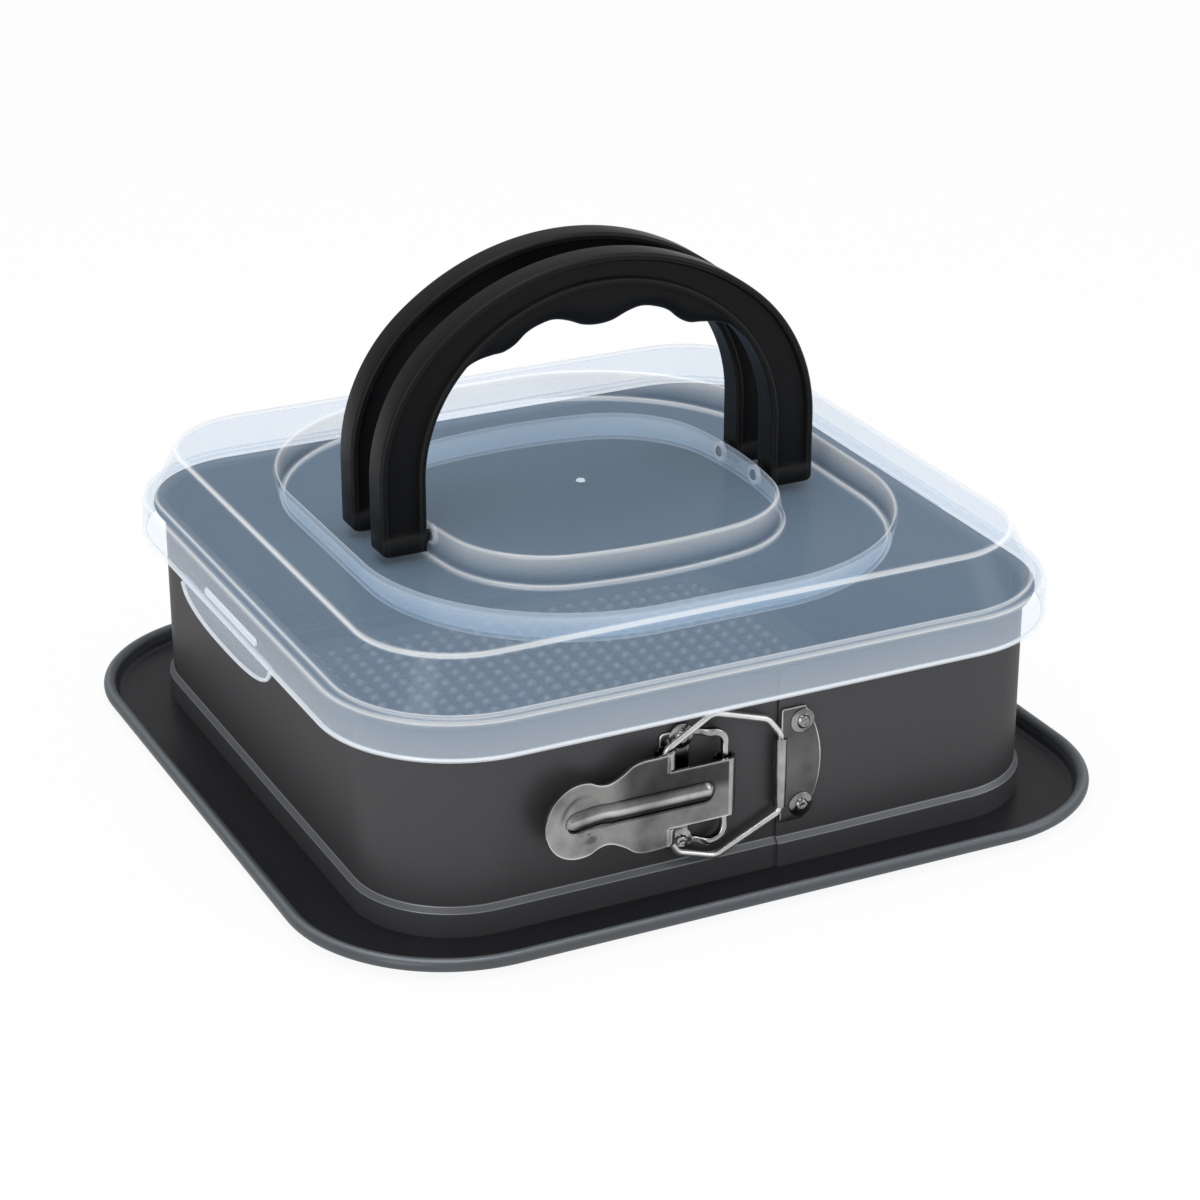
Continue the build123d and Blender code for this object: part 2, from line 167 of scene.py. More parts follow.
def softCorners(points, radii, steps=6):
    # polyline with each inner corner replaced by a circular arc of its radius, tangent to both sides
    points = np.asarray(points, float)
    out = [points[0]]
    for corner in range(1, len(points) - 1):
        here, before, after = points[corner], points[corner - 1], points[corner + 1]
        toBefore = (before - here) / np.linalg.norm(before - here)
        toAfter = (after - here) / np.linalg.norm(after - here)
        radius = radii[corner - 1]
        half = math.acos(np.clip(toBefore @ toAfter, -1, 1)) / 2
        if radius <= 0 or half > math.radians(89.5):
            out.append(here)
            continue
        shorter = min(np.linalg.norm(before - here), np.linalg.norm(after - here))
        reach = min(radius / math.tan(half), 0.49 * shorter)
        radius = reach * math.tan(half)
        middle = toBefore + toAfter
        centre = here + middle / np.linalg.norm(middle) * radius / math.sin(half)
        start, end = here + toBefore * reach - centre, here + toAfter * reach - centre
        sweep = math.pi - 2 * half
        for t in np.linspace(0, 1, steps + 1):
            arc = (start * math.sin((1 - t) * sweep) + end * math.sin(t * sweep)) / math.sin(sweep)
            out.append(centre + arc)
    out.append(points[-1])
    return np.array(out)


def softLoop(points, radii, steps=6):
    # the same round a closed polygon
    points = np.asarray(points, float)
    radii = np.broadcast_to(radii, (len(points),))
    return softCorners(np.concatenate([points[-1:], points, points[:1]]), radii, steps)[1:-1]


def slab(outline, place, thick, soft, tint=0.0, edge=None):
    # closed plate from an outline in its own plane, laid in space by place, with both rims rounded by soft;
    # a ring just inside each rim keeps the flat faces flat in their shading
    edge = tint if edge is None else edge
    ahead, behind = np.roll(outline, -1, axis=0), np.roll(outline, 1, axis=0)
    along = unit(ahead - behind)
    normal = np.stack([along[:, 1], -along[:, 0]], 1)
    area = np.sum(outline[:, 0] * ahead[:, 1] - ahead[:, 0] * outline[:, 1])
    normal = normal if area > 0 else -normal
    rows, hazeAndPaintedLight = [], []
    inset = soft + 0.35
    for depth, inward in ((0, inset), (0, soft), (soft * 0.3, soft * 0.3), (soft, 0), (thick - soft, 0),
                          (thick - soft * 0.3, soft * 0.3), (thick, soft), (thick, inset)):
        ring = outline - normal * inward
        rows.append(place(ring[:, 0], ring[:, 1], np.full(len(ring), depth)))
        hazeAndPaintedLight.append(tint if inward == inset else edge)
    return gridPart(np.stack(rows), capStart=True, capEnd=True, tint=hazeAndPaintedLight)


def turned(profile, place, columns=32, tint=0.0, hollow=False):
    # profile of (radius, along) turned about an axis, with capped ends or closed on itself
    angle = fullTurn(columns)
    rows = [place(radius * np.cos(angle), radius * np.sin(angle), np.full(columns, along))
            for radius, along in profile]
    return gridPart(rows, True, not hollow, not hollow, hollow, tint=np.full(len(profile), tint))


def tubeAlong(path, radius, closedPath, columns=14):
    # round section carried along a path, on the path's own side direction and the bend plane's normal
    path = np.asarray(path, float)
    if closedPath:
        along = np.roll(path, -1, axis=0) - np.roll(path, 1, axis=0)
    else:
        along = np.gradient(path, axis=0)
    along = unit(along)
    _, _, axes = np.linalg.svd(path - path.mean(0), full_matrices=False)
    up = np.broadcast_to(axes[2], path.shape)
    side = np.cross(along, up)
    angle = fullTurn(columns)[:, None]
    points = path[:, None] + radius * (np.cos(angle) * side[:, None] + np.sin(angle) * up[:, None])
    return gridPart(points, closedRows=closedPath, capStart=not closedPath, capEnd=not closedPath)


def squareColumns(halfX, halfY, corner, perSide=24, perCorner=14, frontStops=()):
    # a rounded square as inner core points and outward normals: core + normal * (corner + offset) is any
    # outline parallel to it
    coreX, coreY = halfX - corner, halfY - corner
    core, normal = [], []
    turns = ((1, 1), (-1, 1), (-1, -1), (1, -1))
    for quarter, (sx, sy) in enumerate(turns):
        for angle in np.linspace(0, math.pi / 2, perCorner, endpoint=False):
            whole = quarter * math.pi / 2 + angle
            core.append((sx * coreX, sy * coreY))
            normal.append((math.cos(whole), math.sin(whole)))
        whole = (quarter + 1) * math.pi / 2
        nextX, nextY = turns[(quarter + 1) % 4]
        ends = np.array([(sx * coreX, sy * coreY), (nextX * coreX, nextY * coreY)])
        shares = list(np.linspace(0, 1, perSide, endpoint=False))
        if quarter == 2:
            shares = sorted(shares + [(stop + coreX) / (2 * coreX) for stop in frontStops])
        for share in shares:
            core.append(tuple(ends[0] + (ends[1] - ends[0]) * share))
            normal.append((math.cos(whole), math.sin(whole)))
    return np.array(core), np.array(normal)


def squareRadii(halfX, halfY, corner, angles):
    # distance from the middle to a rounded square at each polar angle
    core, normal = squareColumns(halfX, halfY, corner, perSide=200, perCorner=90)
    return polarRadii(core + normal * corner, angles)


def bowedRadii(halfX, halfY, side, corner, angles):
    # distance from the middle to an outline of four bowed sides of one radius and tangent corner arcs
    sideX, sideY = halfX - side, halfY - side
    reach, span = side - corner, math.hypot(sideX, sideY)
    rise = math.sqrt(reach ** 2 - span ** 2 / 4)
    px = sideX / 2 - sideY / span * rise
    py = sideY / 2 - sideX / span * rise
    low, high = math.atan2(py, px - sideX), math.atan2(py - sideY, px)
    quarter = []
    for x, y, radius, start, end, count in ((sideX, 0, side, 0, low, 60), (px, py, corner, low, high, 120),
                                            (0, sideY, side, high, math.pi / 2, 60)):
        turn = np.linspace(start, end, count)
        quarter.append(np.stack([x + radius * np.cos(turn), y + radius * np.sin(turn)], 1))
    quarter = np.concatenate(quarter)
    half = np.concatenate([quarter, quarter[::-1] * (-1, 1)])
    return polarRadii(np.concatenate([half, -half]), angles)


def polarRadii(outline, angles):
    # a star-shaped outline read as distance against polar angle
    turn = np.arctan2(outline[:, 1], outline[:, 0]) % (2 * math.pi)
    order = np.argsort(turn)
    turn, far = turn[order], np.hypot(outline[:, 0], outline[:, 1])[order]
    return np.interp(angles, turn, far, period=2 * math.pi)


def outlineRows(profile, sizes, angles, radiiOf=squareRadii):
    # each (offset, height) of a profile becomes an outline moved out by the offset, read as radii
    return [(radiiOf(*(size + offset for size in sizes), angles), height) for offset, height in profile]


def polarPoints(rows, angles):
    radii = np.array([row[0] for row in rows])
    heights = np.array([row[1] for row in rows])[:, None] * np.ones(len(angles))
    return np.stack([radii * np.cos(angles), radii * np.sin(angles), heights], axis=-1)


def setSockets(node, values):
    for socket, value in values.items():
        node.inputs[socket].default_value = value


def addNode(nodes, kind, sockets=None, **settings):
    node = nodes.new("ShaderNode" + kind)
    for name, value in settings.items():
        setattr(node, name, value)
    setSockets(node, sockets or {})
    return node


def wire(links, source, output, target, socket):
    links.new(source.outputs[output], target.inputs[socket])


def rangeNode(nodes, low, high, outLow=0.0, outHigh=1.0):
    return addNode(nodes, "MapRange",
                   {"From Min": low, "From Max": high, "To Min": outLow, "To Max": outHigh})


def blendNode(nodes, first, second):
    return addNode(nodes, "Mix", {"A": (*first, 1), "B": (*second, 1)}, data_type="RGBA")


grainLook = {"fineDetail": 3.0, "slowDetail": 4.0, "streakDetail": 5.0, "speckReach": 0.55,
             "noiseSpan": (0.3, 0.7)}


def surfaceGrain(look):
    # fine noise height, small specks, and a slow patchy mask for colour and roughness
    group = bpy.data.node_groups.new("surfaceGrain", "ShaderNodeTree")
    for label in ("Grain Size", "Patch Size"):
        group.interface.new_socket(name=label, in_out="INPUT", socket_type="NodeSocketFloat")
    for label in ("Height", "Speckle", "Patch"):
        group.interface.new_socket(name=label, in_out="OUTPUT", socket_type="NodeSocketFloat")
    nodes, links = group.nodes, group.links
    enter = nodes.new("NodeGroupInput")
    leave = nodes.new("NodeGroupOutput")
    place = addNode(nodes, "TexCoord")
    fine = addNode(nodes, "TexNoise", {"Detail": look["fineDetail"]})
    slow = addNode(nodes, "TexNoise", {"Detail": look["slowDetail"]})
    sparkle = addNode(nodes, "TexVoronoi")
    speck = rangeNode(nodes, 0.0, look["speckReach"], 1.0, 0.0)
    for texture, size in ((fine, "Grain Size"), (sparkle, "Grain Size"), (slow, "Patch Size")):
        wire(links, place, "Object", texture, "Vector")
        wire(links, enter, size, texture, "Scale")
    wire(links, sparkle, "Distance", speck, "Value")
    wire(links, fine, "Fac", leave, "Height")
    wire(links, speck, "Result", leave, "Speckle")
    wire(links, slow, "Fac", leave, "Patch")
    return group


grainGroup = surfaceGrain(grainLook)


def newMaterial(name, look):
    # a material with the shared grain and the mesh's own point tint to hand, which carries painted highlight
    # and painted shade, and on the milky plastic also haze
    material = bpy.data.materials.new(name)
    material.use_nodes = True
    nodes, links = material.node_tree.nodes, material.node_tree.links
    sizes = {"Grain Size": look["grainSize"], "Patch Size": look["patchSize"]}
    grain = addNode(nodes, "Group", sizes, node_tree=grainGroup)
    hazeAndPaintedLight = addNode(nodes, "Attribute", attribute_name="hazeAndPaintedLightTint")
    return material, nodes, links, nodes["Principled BSDF"], grain, hazeAndPaintedLight


def roughAndBump(nodes, links, shader, look, mask, height):
    # roughness spread about its mean by a mask, and bump from a height; both come as output sockets
    low, high = look["roughness"] - look["roughSpread"], look["roughness"] + look["roughSpread"]
    rough = rangeNode(nodes, *grainLook["noiseSpan"], low, high)
    links.new(mask, rough.inputs["Value"])
    wire(links, rough, "Result", shader, "Roughness")
    bump = addNode(nodes, "Bump", {"Strength": look["bump"], "Distance": look["bumpDepth"]})
    links.new(height, bump.inputs["Height"])
    wire(links, bump, "Normal", shader, "Normal")


def grainedMaterial(name, look):
    # base colour lifted by specks; a painted highlight colour, mixed in by the point tint, makes bends, the
    # foot band, rolled rims, pillow tops and handle edges lighter than the flat sheet
    material, nodes, links, shader, grain, hazeAndPaintedLight = newMaterial(name, look)
    amount = addNode(nodes, "Math", {1: look["speckle"]}, operation="MULTIPLY")
    flecked = blendNode(nodes, look["colour"], look["speckleColour"])
    # painted highlight colour, mixed over the flecked colour where the point tint is high
    paintedHighlight = blendNode(nodes, look["colour"], look["paintedHighlight"])
    wire(links, grain, "Speckle", amount, 0)
    wire(links, amount, "Value", flecked, "Factor")
    wire(links, flecked, "Result", paintedHighlight, "A")
    wire(links, hazeAndPaintedLight, "Fac", paintedHighlight, "Factor")
    wire(links, paintedHighlight, "Result", shader, "Base Color")
    roughAndBump(nodes, links, shader, look, grain.outputs["Patch"], grain.outputs["Height"])
    rim = look["rim"]
    setSockets(shader, {"Metallic": look["metallic"], "Specular IOR Level": look["specular"],
                        "Specular Tint": (rim, rim, rim, 1)})
    return material


coatedSteel = grainedMaterial("coatedSteel", {
    "colour": (0.075, 0.075, 0.079), "speckleColour": (0.15, 0.15, 0.155), "speckle": 0.1,
    "grainSize": 1400.0, "patchSize": 9.0, "roughness": 0.42, "roughSpread": 0.03, "bump": 0.08,
    "bumpDepth": 0.0002, "metallic": 0.45, "paintedHighlight": (0.3, 0.32, 0.34), "specular": 0.4, "rim": 0.15})
# the tray's sheet takes a darker copy of the coated steel: painted shade, while the tray's floor keeps the
# ring's coating
paintedShadeCoatedSteel = grainedMaterial("paintedShadeCoatedSteel", {
    "colour": (0.022, 0.022, 0.025), "speckleColour": (0.07, 0.07, 0.075), "speckle": 0.25,
    "grainSize": 1400.0, "patchSize": 9.0, "roughness": 0.36, "roughSpread": 0.03, "bump": 0.1,
    "bumpDepth": 0.0002, "metallic": 0.3, "paintedHighlight": (0.17, 0.19, 0.205), "specular": 0.45, "rim": 0.4})
blackPlastic = grainedMaterial("blackPlastic", {
    "colour": (0.0055, 0.0055, 0.006), "speckleColour": (0.011, 0.011, 0.011), "speckle": 0.3,
    "grainSize": 1900.0, "patchSize": 25.0, "roughness": 0.38, "roughSpread": 0.04, "bump": 0.22,
    "bumpDepth": 0.0002, "metallic": 0.0, "paintedHighlight": (0.024, 0.024, 0.025), "specular": 0.11, "rim": 1.0})


def platedMaterial(name, look):
    # bright plated sheet: stretched noise gives drawn streaks, slow noise the soft waves of pressed metal;
    # painted highlights make edges and crests brighter than the sheet, painted shade makes hollows darker
    material, nodes, links, shader, grain, hazeAndPaintedLight = newMaterial(name, look)
    place = addNode(nodes, "TexCoord")
    stretch = addNode(nodes, "Mapping", {"Scale": look["stretch"]})
    streak = addNode(nodes, "TexNoise", {"Scale": look["streakSize"], "Detail": grainLook["streakDetail"]})
    wire(links, place, "Object", stretch, "Vector")
    wire(links, stretch, "Vector", streak, "Vector")
    spread = rangeNode(nodes, *grainLook["noiseSpan"])
    tone = blendNode(nodes, look["dark"], look["bright"])
    wire(links, grain, "Patch", spread, "Value")
    wire(links, spread, "Result", tone, "Factor")
    # the point tint scales the colour from painted shade at its low end to painted highlight at its high end
    lift = rangeNode(nodes, -1.0, 1.0, look["hollow"], look["edge"])
    scaled = addNode(nodes, "VectorMath", operation="SCALE")
    wire(links, hazeAndPaintedLight, "Fac", lift, "Value")
    wire(links, tone, "Result", scaled, 0)
    wire(links, lift, "Result", scaled, "Scale")
    wire(links, scaled, "Vector", shader, "Base Color")
    height = addNode(nodes, "Math", {1: look["wave"]}, operation="MULTIPLY_ADD")
    wire(links, grain, "Patch", height, 0)
    wire(links, streak, "Fac", height, 2)
    roughAndBump(nodes, links, shader, look, streak.outputs["Fac"], height.outputs["Value"])
    setSockets(shader, {"Metallic": 1.0})
    return material


platedSteel = platedMaterial("platedSteel", {
    "dark": (0.12, 0.12, 0.119), "bright": (0.36, 0.36, 0.356), "stretch": (0.25, 1.0, 1.0),
    "streakSize": 220.0, "grainSize": 1500.0, "patchSize": 60.0, "roughness": 0.2, "roughSpread": 0.05,
    "bump": 0.12, "bumpDepth": 0.0003, "wave": 6.0, "hollow": 0.1, "edge": 2.5})
brightWire = platedMaterial("brightWire", {
    "dark": (0.62, 0.62, 0.61), "bright": (0.85, 0.85, 0.84), "stretch": (0.3, 0.3, 0.3),
    "streakSize": 300.0, "grainSize": 1500.0, "patchSize": 90.0, "roughness": 0.42, "roughSpread": 0.04,
    "bump": 0.05, "bumpDepth": 0.0003, "wave": 2.0, "hollow": 0.6, "edge": 1.4})


def milkyMaterial(name, look):
    # clear-milky moulding: a pale body that lets most light by, whiter where it is seen edge on or bends; the
    # whiter bends, set by the point tint, are partly the moulding's denser haze and partly a painted
    # highlight
    material, nodes, links, shader, grain, hazeAndPaintedLight = newMaterial(name, look)
    facing = addNode(nodes, "LayerWeight", {"Blend": look["edgeBlend"]})
    density = rangeNode(nodes, look["edgeFrom"], 1.0, look["alpha"], look["edgeAlpha"])
    cloud = addNode(nodes, "Math", {1: look["cloud"]}, operation="MULTIPLY_ADD")
    lifted = addNode(nodes, "Math", {1: look["bendAlpha"]}, operation="MULTIPLY_ADD", use_clamp=True)
    wire(links, facing, "Facing", density, "Value")
    wire(links, grain, "Patch", cloud, 0)
    wire(links, density, "Result", cloud, 2)
    wire(links, hazeAndPaintedLight, "Fac", lifted, 0)
    wire(links, cloud, "Value", lifted, 2)
    wire(links, lifted, "Value", shader, "Alpha")
    pale = addNode(nodes, "Math", {1: look["paleBy"]}, operation="MULTIPLY", use_clamp=True)
    tone = blendNode(nodes, look["colour"], look["bendColour"])
    wire(links, hazeAndPaintedLight, "Fac", pale, 0)
    wire(links, pale, "Value", tone, "Factor")
    wire(links, tone, "Result", shader, "Base Color")
    roughAndBump(nodes, links, shader, look, grain.outputs["Patch"], grain.outputs["Height"])
    # the faint glow stands in for the daylight that the milky body scatters from behind
    setSockets(shader, {"IOR": look["ior"], "Specular IOR Level": look["specular"],
                        "Emission Color": (*look["scatter"], 1),
                        "Emission Strength": look["scatterStrength"]})
    return material


milkyPlastic = milkyMaterial("milkyPlastic", {
    "colour": (0.5, 0.73, 1.0), "bendColour": (0.93, 0.95, 0.97), "paleBy": 2.0, "alpha": 0.115,
    "edgeAlpha": 0.27, "edgeBlend": 0.25, "edgeFrom": 0.45, "bendAlpha": 0.36, "cloud": 0.01,
    "roughness": 0.17, "roughSpread": 0.03, "ior": 1.5, "specular": 0.8, "grainSize": 500.0,
    "patchSize": 30.0, "bump": 0.003, "bumpDepth": 0.0002, "scatter": (0.68, 0.83, 1.0),
    "scatterStrength": 0.13})
print("materials made")


coverLook = {
    "skirt": 128.9, "skirtBottom": 65.0, "bead": 0.35, "ledge": 78.65, "ledgeRound": 2.2,
    "dome": (124.4, 122.0, 42.0), "domeDraft": 24.6, "top": 95.7, "domeRound": 2.8,
    "recess": (93.3, 104.6, 72.0), "recessFloor": 85.7, "recessDraft": 10.0, "recessRound": 1.6,
    "plateau": (62.4, 61.1, 162.0, 38.0), "plateauRound": 1.8, "footRound": 1.2, "wall": 1.5, "gap": 0.5,
    "skirtHaze": 0.27, "footHaze": 0.75, "ledgeHaze": 0.75, "recessHaze": 0.504, "plateauHaze": 0.42,
    "columns": 480}


def bentProfile(points, radii, steps, gap, power=4):
    # rounded profile with a point close to both ends of each straight run, and a weight for each point that
    # peaks in the bends: haze and painted highlight on the cover, painted highlight on the ring
    line = softCorners(points, radii, steps)
    out = [line[0]]
    for a, b in zip(line[:-1], line[1:]):
        run = np.linalg.norm(b - a)
        if run > 3 * gap:
            out += [a + (b - a) * gap / run, b + (a - b) * gap / run]
        out.append(b)
    out = np.array(out)
    heading = np.unwrap(np.arctan2(np.diff(out[:, 1]), np.diff(out[:, 0])))
    turn = np.concatenate([[0], np.abs(np.diff(heading)), [0]])
    # each bend's weight is highest in its middle: a sine raised to a power over its points
    hazeAndPaintedLight = np.zeros(len(out))
    edges = np.flatnonzero(np.diff(np.concatenate([[0], turn > 0.02, [0]])))
    for first, last in edges.reshape(-1, 2):
        share = (np.arange(first, last) - first + 1) / (last - first + 1)
        hazeAndPaintedLight[first:last] = np.sin(math.pi * share) ** power
    return out, hazeAndPaintedLight


def coverShell(look):
    # each row is an outline read by polar angle, from the skirt's edge over dome and recess to the plateau
    angles = fullTurn(look["columns"])
    top, ledge, floor, bottom = look["top"], look["ledge"], look["recessFloor"], look["skirtBottom"]
    domeIn = (top - ledge) * math.tan(math.radians(look["domeDraft"]))
    flare = (top - floor) * math.tan(math.radians(look["recessDraft"]))
    out, bead, gap = look["skirt"] - look["dome"][0], look["bead"], look["gap"]
    side, sideHazeAndHighlight = bentProfile(
        [(out, bottom), (out + bead, bottom + 0.6), (out, bottom + 1.4), (out, ledge), (0, ledge),
         (-domeIn, top), (-domeIn - 3.8, top)],
        [0.3, 0.3, look["ledgeRound"], 0.9, look["domeRound"]], 7, gap)
    wall, wallHazeAndHighlight = bentProfile([(2.6, top), (0, top), (-flare, floor), (-flare - 4.0, floor)],
                                 [look["recessRound"], look["footRound"]], 6, gap)
    step, stepHazeAndHighlight = bentProfile([(flare + 4.0, floor), (flare, floor), (0, top), (-5.0, top)],
                                 [look["footRound"], look["plateauRound"]], 6, gap)
    # the rows' tint peaks in the bends: partly the moulding's denser haze there, partly a painted highlight
    height = side[:, 1]
    sideHazeAndHighlight = np.where(height < ledge - 1.0, np.maximum(sideHazeAndHighlight, look["skirtHaze"]), sideHazeAndHighlight)
    onLedge = (height > ledge - 3.0) & (height < ledge + 1.5)
    sideHazeAndHighlight = np.where(onLedge, sideHazeAndHighlight * look["ledgeHaze"], sideHazeAndHighlight)
    sideHazeAndHighlight[0] = 1.0

    def drawn(hazeAndPaintedLight, height, least):
        # the recess's foot is less hazy than its other bends, and its walls have a haze of their own
        hazeAndPaintedLight = np.where(height < floor + 2, hazeAndPaintedLight * look["footHaze"], hazeAndPaintedLight)
        return np.where((height > floor + 1.5) & (height < top - 0.8), np.maximum(hazeAndPaintedLight, least), hazeAndPaintedLight)

    rows = outlineRows(side, look["dome"], angles) + outlineRows(wall, look["recess"], angles)
    rows += outlineRows(step, look["plateau"], angles, bowedRadii)
    rows += [(rows[-1][0] * share, top) for share in (0.8, 0.55, 0.3, 0.1)]
    hazeAndPaintedLight = np.concatenate([sideHazeAndHighlight, drawn(wallHazeAndHighlight, wall[:, 1], look["recessHaze"]),
                           drawn(stepHazeAndHighlight, step[:, 1], look["plateauHaze"]), np.zeros(4)])
    return makePiece("cover_shell", gridPart(polarPoints(rows, angles), capEnd=True, flip=False, tint=hazeAndPaintedLight))


coverPiece = coverShell(coverLook)
thicken(coverPiece, coverLook["wall"])
dress(coverPiece, milkyPlastic, "lid", "translucent_plastic", "cover")

tabLook = {
    "middle": 4.5, "halfLength": 42.0, "root": 67.4, "drop": 11.3, "endPower": 0.8, "dropPower": 0.72,
    "sheet": 1.5, "proud": 0.25, "round": 0.4, "hazeAndPaintedLight": 0.25, "lipTop": 65.5, "lipRadius": 0.7,
    "lipRaise": 0.2, "out": 128.9, "barAt": (-2.5, 71.0), "barLength": 48.0, "barWidth": 2.6,
    "barProud": 0.9, "barSunk": 0.2}


def liftTab(name, look, side):
    # tab below the skirt with a round lip along its lower edge, and a low solid bar on the skirt above it;
    # the tab is a flat-bottomed lens: its drop falls off towards both ends as a superellipse
    turn = np.linspace(0, math.pi, 41)
    share = signedPower(np.cos(turn), look["endPower"])
    drop = look["drop"] * np.sin(turn) ** look["dropPower"]
    outline = np.stack([look["middle"] + look["halfLength"] * share, look["root"] - drop], 1)
    outer = side * look["out"]
    lip = outline[outline[:, 1] < look["lipTop"]][::-1]
    lipPath = np.stack([np.full(len(lip), outer), lip[:, 0], lip[:, 1] + look["lipRaise"]], 1)
    onTab = laid(0, (outer + side * (look["proud"] - look["sheet"]), 0, 0), side)
    parts = [slab(outline, onTab, look["sheet"], look["round"], look["hazeAndPaintedLight"]),
             tubeAlong(lipPath, look["lipRadius"], False, 10)]
    # the lip and the bar on the skirt are whitened by their tint: partly denser plastic, partly a painted
    # highlight
    parts[1]["tint"][:] = 1.0
    half, width = look["barLength"] / 2, look["barWidth"] / 2
    bar = softLoop([(-half, -width), (half, -width), (half, width), (-half, width)], width * 0.95, 6)
    onSkirt = laid(0, (outer - side * look["barSunk"], 0, 0), side)
    parts.append(slab(bar + look["barAt"], onSkirt, look["barProud"], 0.3, 0.8, 1.0))
    piece = makePiece(name, parts)
    dress(piece, milkyPlastic, "lid", "translucent_plastic")


liftTab("left_tab", tabLook, -1)
liftTab("right_tab", tabLook, 1)

detailLook = {
    "gate": ((0.3, -0.3), (0.5, -0.1), (0.9, 0.45), (1.3, 0.35), (1.7, -0.2)), "top": 95.7, "pivotZ": 91.6,
    "pivotY": 12.6, "wallX": 61.7, "socketOut": 3.5, "socketIn": 2.1, "socketLong": 1.5, "socketHaze": 0.45}


def coverDetails(look):
    # the gate's small crater in the plateau's middle and a socket ring inside the wall at each pivot
    # the gate and the socket rings are whitened by their tint: partly denser plastic, partly a painted
    # highlight
    parts = [turned(look["gate"], laid(2, (0, 0, look["top"])), 24, 1.0)]
    inner, outer, long = look["socketIn"], look["socketOut"], look["socketLong"]
    for side in (1, -1):
        for y in (-look["pivotY"], look["pivotY"]):
            inwards = laid(0, (side * look["wallX"], y, look["pivotZ"]), -side)
            socket = [(outer, 0), (outer, long), (inner, long), (inner, 0)]
            parts.append(turned(socket, inwards, 32, look["socketHaze"], True))
    piece = makePiece("cover_details", parts)
    dress(piece, milkyPlastic, "lid", "translucent_plastic")


coverDetails(detailLook)
print("cover made")


handleLook = {
    "outerX": 81.0, "innerX": 64.7, "foot": 88.2, "archBase": 112.0, "outerRise": 69.0, "innerRise": 58.0,
    "thick": 10.8, "middle": 12.6, "rim": 2.3, "depth": 1.8, "panelFoot": 6.0, "edge": 1.3, "toe": 2.0,
    "gripDepth": 4.0, "pivotZ": 91.6, "stud": 2.0, "studEnd": 59.75, "boss": 3.3, "bossEnd": 63.45,
    "grip": ((-54.0, 144.0), (-49.0, 148.6), (-44.0, 150.3), (-38.5, 151.1), (-34.0, 151.6), (-30.5, 153.4),
             (-27.0, 156.5), (-21.0, 159.2), (-16.0, 160.0), (-11.0, 158.9), (-5.5, 156.7), (0.0, 156.0)),
    "gripRound": ((0.0, 1.0), (0.25, 1.0), (0.55, 0.94), (0.78, 0.78), (0.92, 0.52), (1.0, 0.18)),
    "brow": ((-0.35, 0.0), (-0.1, 0.06), (0.12, 0.25), (0.35, 0.75), (0.7, 1.0), (1.3, 1.0)),
    "edgeHighlight": (0, 0, 0.3, 0.5, 0.3, 0), "browHighlight": (0.4, 0.7, 0.3, 0, 0, 0), "ledgeWidth": 0.4}


def threeCentred(halfX, rise, look, legs):
    # right leg, side arc, crown arc, side arc and left leg; equal counts keep outer and inner in step
    base = look["archBase"]
    span = math.hypot(halfX, rise)
    sideRadius = (span - halfX + rise) * span / (2 * halfX)
    crownRadius = (span + halfX - rise) * span / (2 * rise)
    low = math.atan2(crownRadius - rise, halfX - sideRadius)
    sideTurn = np.linspace(0, low, 34)[1:]
    crownTurn = np.linspace(low, math.pi - low, 110)[1:-1]
    leg = np.stack([np.full(len(legs), halfX), legs], 1)
    side = np.stack([halfX + sideRadius * (np.cos(sideTurn) - 1), base + sideRadius * np.sin(sideTurn)], 1)
    crownUp = crownRadius * (np.sin(crownTurn) - 1) + base + rise
    crown = np.stack([crownRadius * np.cos(crownTurn), crownUp], 1)
    right = np.concatenate([leg, side])
    return np.concatenate([right, crown, right[::-1] * (-1, 1)])


def smoothThrough(x, y, at):
    # Hermite curve through the points, read at the given places
    slope = np.gradient(y, x)
    cell = np.clip(np.searchsorted(x, at) - 1, 0, len(x) - 2)
    step = x[cell + 1] - x[cell]
    t = (at - x[cell]) / step
    return ((2 * t ** 3 - 3 * t ** 2 + 1) * y[cell] + (t ** 3 - 2 * t ** 2 + t) * step * slope[cell]
            + (3 * t ** 2 - 2 * t ** 3) * y[cell + 1] + (t ** 3 - t ** 2) * step * slope[cell + 1])


